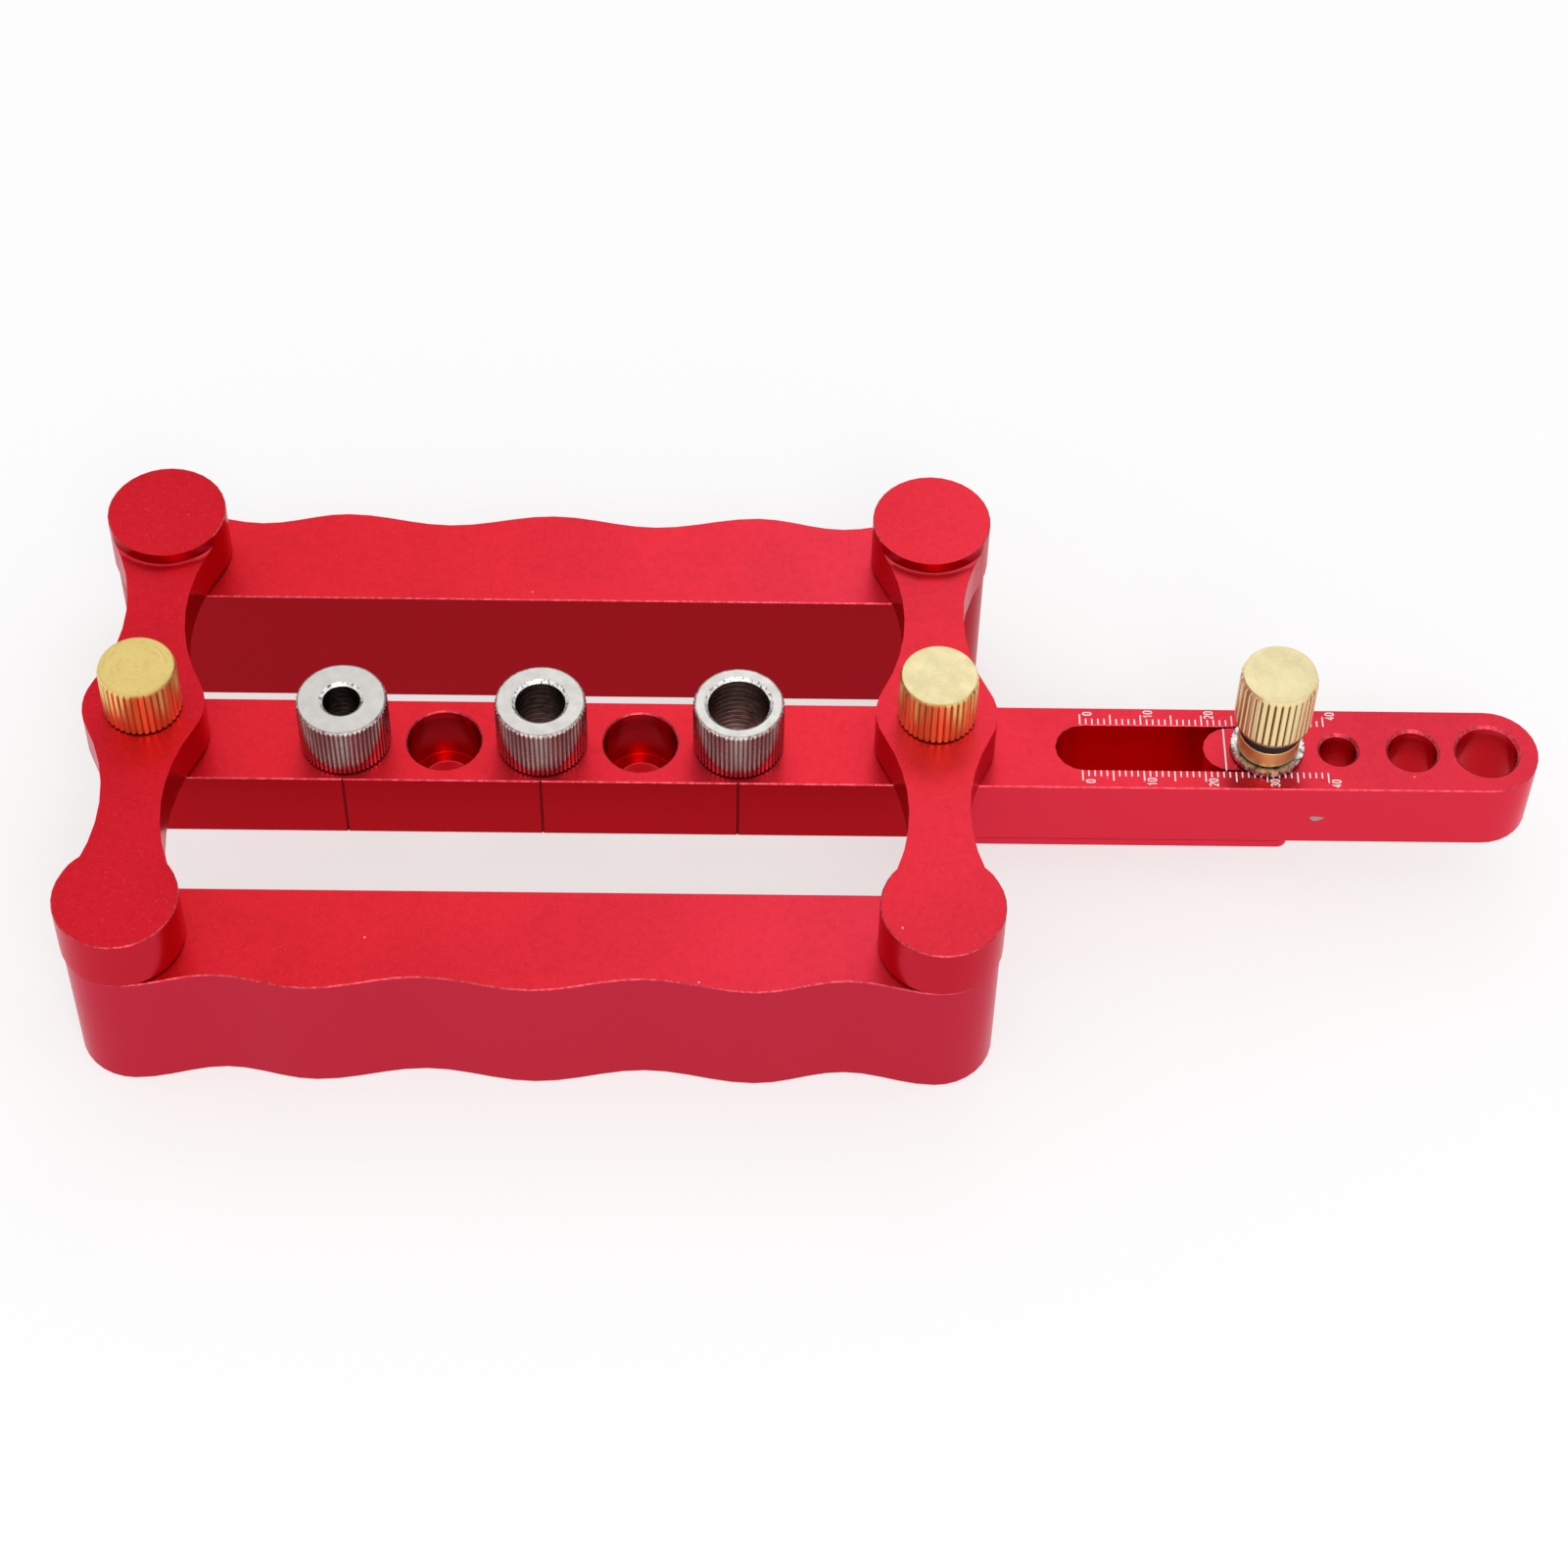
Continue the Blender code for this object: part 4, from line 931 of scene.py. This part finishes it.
def add_ribbon(bm, points, width, low, high):
    """A printed line of even width along points; it is closed where its ends meet."""
    closed = math.dist(points[0], points[-1]) < width / 10
    if closed:
        points = points[:-1]
    rings = []
    for index, (x, y) in enumerate(points):
        before, after = neighbours(points, index, closed)
        into = Vector((x - before[0], y - before[1])).normalized()
        out = Vector((after[0] - x, after[1] - y)).normalized()
        mean = (into + out).normalized()
        reach = width / 2 / max(mean.dot(out), SHARPEST_MITRE)
        nx, ny = -mean.y * reach, mean.x * reach
        rings.append([
            bm.verts.new((x + nx, y + ny, low)),
            bm.verts.new((x + nx, y + ny, high)),
            bm.verts.new((x - nx, y - ny, high)),
            bm.verts.new((x - nx, y - ny, low)),
        ])
    pairs = list(zip(rings, rings[1:]))
    if closed:
        pairs.append((rings[-1], rings[0]))
    else:
        bm.faces.new(rings[0])
        bm.faces.new(list(reversed(rings[-1])))
    for first, second in pairs:
        join_rings(bm, first, second)


def add_label(bm, text, x, side, top):
    """A number beside a tick, turned to read from the ruled end."""
    for index, digit in enumerate(text):
        row = side * DIGIT_ROW + (index - (len(text) - 1) / 2) * DIGIT_PITCH
        for layer, stroke in enumerate(digit_strokes(digit)):
            points = []
            for u, v in stroke:
                along = v * (DIGIT_HEIGHT - DIGIT_STROKE) / 2
                across = u * (DIGIT_WIDTH - DIGIT_STROKE) / 2
                points.append((x + DIGIT_SHIFT - along, row + across))
            add_ribbon(bm, points, DIGIT_STROKE, DECK_Z, top + layer * STROKE_LAYER)


def build_scale(material):
    """Two rows of millimetre ticks beside the slot, numbered every ten."""
    bm = bmesh.new()
    top = DECK_Z + PRINT_THICKNESS
    for side in (-1, 1):
        for mark in range(SCALE_LENGTH + 1):
            x = SCALE_ZERO_X + mark * MM
            end = LONG_TICK_END if mark % LONG_TICK_EVERY == 0 else SHORT_TICK_END
            y0, y1 = sorted((side * TICK_START, side * end))
            add_slab(bm, line_outline(x, TICK_WIDTH, y0, y1), DECK_Z, top)
            if mark % NUMBER_EVERY == 0:
                add_label(bm, str(mark), x, side, top)
    new_piece("scale_print", bm, material, "guide_bar")


def build_index(material):
    """White paint in the index groove of the slider's block."""
    bm = bmesh.new()
    outline = line_outline(SLIDER_HIGH.x - INDEX_FROM_END, INDEX_WIDTH, -INDEX_HALF_LENGTH, INDEX_HALF_LENGTH)
    add_slab(bm, outline, SLIDER_HIGH.z - INDEX_FLOOR, SLIDER_HIGH.z - INDEX_DROP)
    new_piece("index_paint", bm, material, "slider")


def build_shim(material):
    """Red shim on the slider's base, which leaves only a hairline under the bar."""
    left, right = SLIDER_LOW.x + BASE_CORNER, SLIDER_HIGH.x - BASE_CORNER
    front, back = -BAR_HALF_WIDTH + BASE_CORNER, BAR_HALF_WIDTH - BASE_CORNER
    corners = (((right, front), -90), ((right, back), 0), ((left, back), 90), ((left, front), 180))
    outline = []
    for center, angle in corners:
        outline += oval(center, BASE_CORNER, BASE_CORNER, angle, angle + 90, BASE_CORNER_STEPS)
    foot = SLIDER_LOW.z + BASE_THICKNESS
    bm = bmesh.new()
    add_slab(bm, outline, foot, foot + SHIM_THICKNESS)
    new_piece("slider_base_shim", bm, material, "slider")


def add_ring(bm, center, radii, z):
    """A level ring of vertices around an upright axis, one for each radius."""
    ring = []
    for index, radius in enumerate(radii):
        angle = math.tau * index / len(radii)
        ring.append(bm.verts.new((
            center.x + radius * math.cos(angle), center.y + radius * math.sin(angle), z,
        )))
    return ring


def lining_radius(outer, rise, turn):
    """Inner radius of a lining at a height and a share of a turn, less on the helical mark."""
    phase = (rise / RIDGE_PITCH - turn) % 1.0
    ridge = RIDGE_HEIGHT * max(0.0, 1 - abs(phase - 0.5) / RIDGE_SHARE)
    return outer - LINING_THICKNESS - ridge


def build_lining(size, material):
    """Reamed lining of one bushing, with a helical tool mark; its material paints the shade in the bore."""
    low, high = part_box("drill_bushing_" + size)
    center = (low + high) / 2
    outer = BORE_RADII[size] * LINING_FIT
    foot, top = low.z + LINING_FOOT_RISE, high.z - LINING_TOP_DROP
    bm = bmesh.new()
    rings = []
    for row in range(LINING_ROWS + 1):
        z = foot + (top - foot) * row / LINING_ROWS
        radii = [lining_radius(outer, z - foot, side / LINING_SIDES) for side in range(LINING_SIDES)]
        rings.append(add_ring(bm, center, radii, z))
    for z in (top, foot):
        rings.append(add_ring(bm, center, [outer] * LINING_SIDES, z))
    for first, second in zip(rings, rings[1:] + rings[:1]):
        join_rings(bm, first, second)
    new_piece("bushing_bore_lining_" + size, bm, material, "guide_bar", smooth=True)


def build_centre_marks(material):
    """Dark lines of painted shade in the bar's centre marks."""
    bm = bmesh.new()
    for index in (-1, 0, 1):
        x = LINK_X + index * SCRIBE_PITCH
        for side in (-1, 1):
            y0, y1 = sorted(side * (BAR_HALF_WIDTH - depth) for depth in (SCRIBE_DEPTH, SCRIBE_COVER))
            outline = line_outline(x, SCRIBE_WIDTH, y0, y1)
            add_slab(bm, outline, BAR_FOOT_Z + SCRIBE_DEPTH, DECK_Z - SCRIBE_DEPTH)
    new_piece("centre_mark_lines", bm, material, "guide_bar")


def build_chip(material):
    """A small chip in the bar's front face."""
    outline = []
    for point in range(CHIP_POINTS):
        angle = math.tau * point / CHIP_POINTS
        wobble = 1.0
        for size, count, phase in CHIP_WAVES:
            wobble += size * math.sin(count * angle + phase)
        outline.append((CHIP_SIZE[0] * wobble * math.cos(angle), CHIP_SIZE[1] * wobble * math.sin(angle)))
    bm = bmesh.new()
    add_slab(bm, outline, 0, PRINT_THICKNESS)
    upright = Matrix.Rotation(math.radians(90), 4, "X")
    place = Matrix.Translation((LINK_X + CHIP_FROM_LINK, -BAR_HALF_WIDTH, DECK_Z - CHIP_FROM_DECK))
    bmesh.ops.transform(bm, matrix=place @ upright, verts=bm.verts)
    new_piece("bar_chip", bm, material, "guide_bar")


def build_camera():
    """The photograph's viewpoint."""
    data = bpy.data.cameras.new("photo_camera")
    data.sensor_width = SENSOR_WIDTH
    data.lens = FOCAL_PIXELS * SENSOR_WIDTH / PHOTO_SIDE
    data.clip_start = CLIP_START
    data.clip_end = CLIP_END
    camera = bpy.data.objects.new("photo_camera", data)
    bpy.context.scene.collection.objects.link(camera)
    pitch, yaw, roll = (math.radians(angle) for angle in (CAMERA_PITCH, CAMERA_YAW, CAMERA_ROLL))
    ahead = Vector((math.sin(yaw) * math.cos(pitch), math.cos(yaw) * math.cos(pitch), -math.sin(pitch)))
    level = Vector((math.cos(yaw), -math.sin(yaw), 0))
    above = level.cross(ahead)
    right = level * math.cos(roll) + above * math.sin(roll)
    up = above * math.cos(roll) - level * math.sin(roll)
    turn = Matrix((right, up, -ahead)).transposed().to_4x4()
    x, y, z = CAMERA_FROM_SCALE_ZERO
    camera.matrix_world = Matrix.Translation((SCALE_ZERO_X + x, y, DECK_Z + z)) @ turn
    bpy.context.scene.camera = camera


def add_lamp(name, place, size, power):
    """A large soft lamp that faces the middle of the bar."""
    data = bpy.data.lights.new(name, "AREA")
    data.shape = "DISK"
    data.size = size
    data.energy = power
    lamp = bpy.data.objects.new(name, data)
    lamp.location = place
    toward = Vector((LINK_X, 0, DECK_Z)) - Vector(place)
    lamp.rotation_euler = toward.to_track_quat("-Z", "Y").to_euler()
    lamp.visible_camera = False
    bpy.context.scene.collection.objects.link(lamp)


def seen_directly(graph):
    """1 for rays from the camera and rays that are mirrored or refracted, and 0 for the rest."""
    path = graph.add("ShaderNodeLightPath")
    total = path.outputs["Is Camera Ray"]
    for name in ("Is Glossy Ray", "Is Transmission Ray"):
        total = graph.math("ADD", total, path.outputs[name], clamp=True)
    return total


def build_world():
    """White all round for what is seen directly, and a softer fill for the rest."""
    world = bpy.data.worlds.new("studio")
    world.use_nodes = True
    bpy.context.scene.world = world
    graph = Graph(world.node_tree)
    background = world.node_tree.nodes["Background"]
    background.inputs["Color"].default_value = WHITE
    strength = graph.band(seen_directly(graph), 0.0, 1.0, WORLD_FILL, WORLD_SEEN)
    link(graph, background, Strength=strength)


def floor_material():
    """A matt grey that glows where it is seen directly, so that it shows white."""
    material = bpy.data.materials.new("floor")
    material.use_nodes = True
    tree = material.node_tree
    graph = Graph(tree)
    tree.nodes.remove(tree.nodes["Principled BSDF"])
    matt = graph.add("ShaderNodeBsdfDiffuse", {"Color": FLOOR_GREY})
    strength = graph.math("MULTIPLY", seen_directly(graph), FLOOR_GLOW)
    glow = graph.add("ShaderNodeEmission", {"Color": WHITE, "Strength": strength})
    both = graph.add("ShaderNodeAddShader", {0: matt.outputs[0], 1: glow.outputs[0]})
    link(graph, tree.nodes["Material Output"], Surface=both.outputs[0])
    return material


def build_floor():
    """A wide white floor that keeps a faint shadow."""
    bm = bmesh.new()
    add_slab(bm, box_outline(-FLOOR_REACH, FLOOR_REACH, -FLOOR_REACH, FLOOR_REACH), FLOOR_FOOT, FLOOR_TOP)
    floor = new_mesh_object("floor", bm, floor_material())


def dress_nodes(slider_red):
    """Dress every CAD node."""
    group = smoothing_group()
    steel = steel_material()
    # Painted shade on each plate's walls, and painted light on its flats towards the ruled end
    for name, wall in (("front_plate", RED_FRONT_WALL_SHADE), ("rear_plate", RED_REAR_WALL_SHADE)):
        dress((name,), plain_red("red_anodised_" + name, tones=(RED, RED_PLATE_PAINTED_LIT), wall=wall), group)
    # Painted shade keeps the left arm's flats darker; painted light turns the right arm's rosier towards the
    # ruled end
    for name, tones in (("left_arm", (RED_ARM_SHADED, RED_ARM_SHADED)), ("right_arm", (RED, RED_ARM_PAINTED_LIT))):
        dress((name,), arm_material("red_anodised_" + name, name, tones=tones), group)
    dress(("guide_bar",), bar_material("red_anodised_bar"), group)
    dress(("slider",), slider_red, group)
    deep_sides = (BRASS_SIDE_DEEP, BRASS_GROOVE_DEEP)
    for name, colours, sides, radius, darkening in (
        ("left_lock_knob", BRASS_DEEP, deep_sides, LOCK_KNOB_RADIUS, LOCK_GROOVE_DARKENING),
        ("right_lock_knob", BRASS_PALE, deep_sides, LOCK_KNOB_RADIUS, LOCK_GROOVE_DARKENING),
        ("slider_knob", BRASS_PALE, (BRASS_SIDE, BRASS_GROOVE), SLIDER_KNOB_RADIUS, SLIDER_GROOVE_DARKENING),
    ):
        dress((name,), brass_material(name, colours, sides, radius, darkening), group)
    for size in BORE_RADII:
        dress(("drill_bushing_" + size,), nickel_material(size), group)
    dress([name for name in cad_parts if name.startswith("pivot")], steel, group)
    dress(("slider_washer",), steel, group)
    dress(("slider_o_ring",), plain_material("rubber", RUBBER, RUBBER_WORN, scale=3.0, rough=0.6), group)


def add_pieces(slider_red):
    """Add the pieces that ride on the CAD nodes."""
    white = plain_material("white_print", PRINT_WHITE, RED_WORN_AND_HIGHLIGHT, scale=3.2, rough=0.45)
    build_scale(white)
    build_index(white)
    build_shim(slider_red)
    for size in BORE_RADII:
        build_lining(size, bore_material(size))
    # Painted shade: dark lines laid in the bar's centre marks
    build_centre_marks(plain_material("centre_mark_red", SCRIBE_SHADE_RED, RED_DEEP, scale=2.0, rough=0.4))
    build_chip(plain_material("chipped_anodising", CHIP_GREY, NICKEL_DARK, scale=2.5, rough=0.4))


def build_studio():
    """Camera, world, floor and lamps: a soft key from behind on the right, and a fill in front."""
    bpy.context.scene.view_settings.view_transform = "Standard"
    build_camera()
    build_world()
    build_floor()
    add_lamp("key", KEY_PLACE, KEY_SIZE, KEY_POWER)
    add_lamp("fill", FILL_PLACE, FILL_SIZE, FILL_POWER)


slider_red = slider_material("red_anodised_slider")
dress_nodes(slider_red)
add_pieces(slider_red)
build_studio()
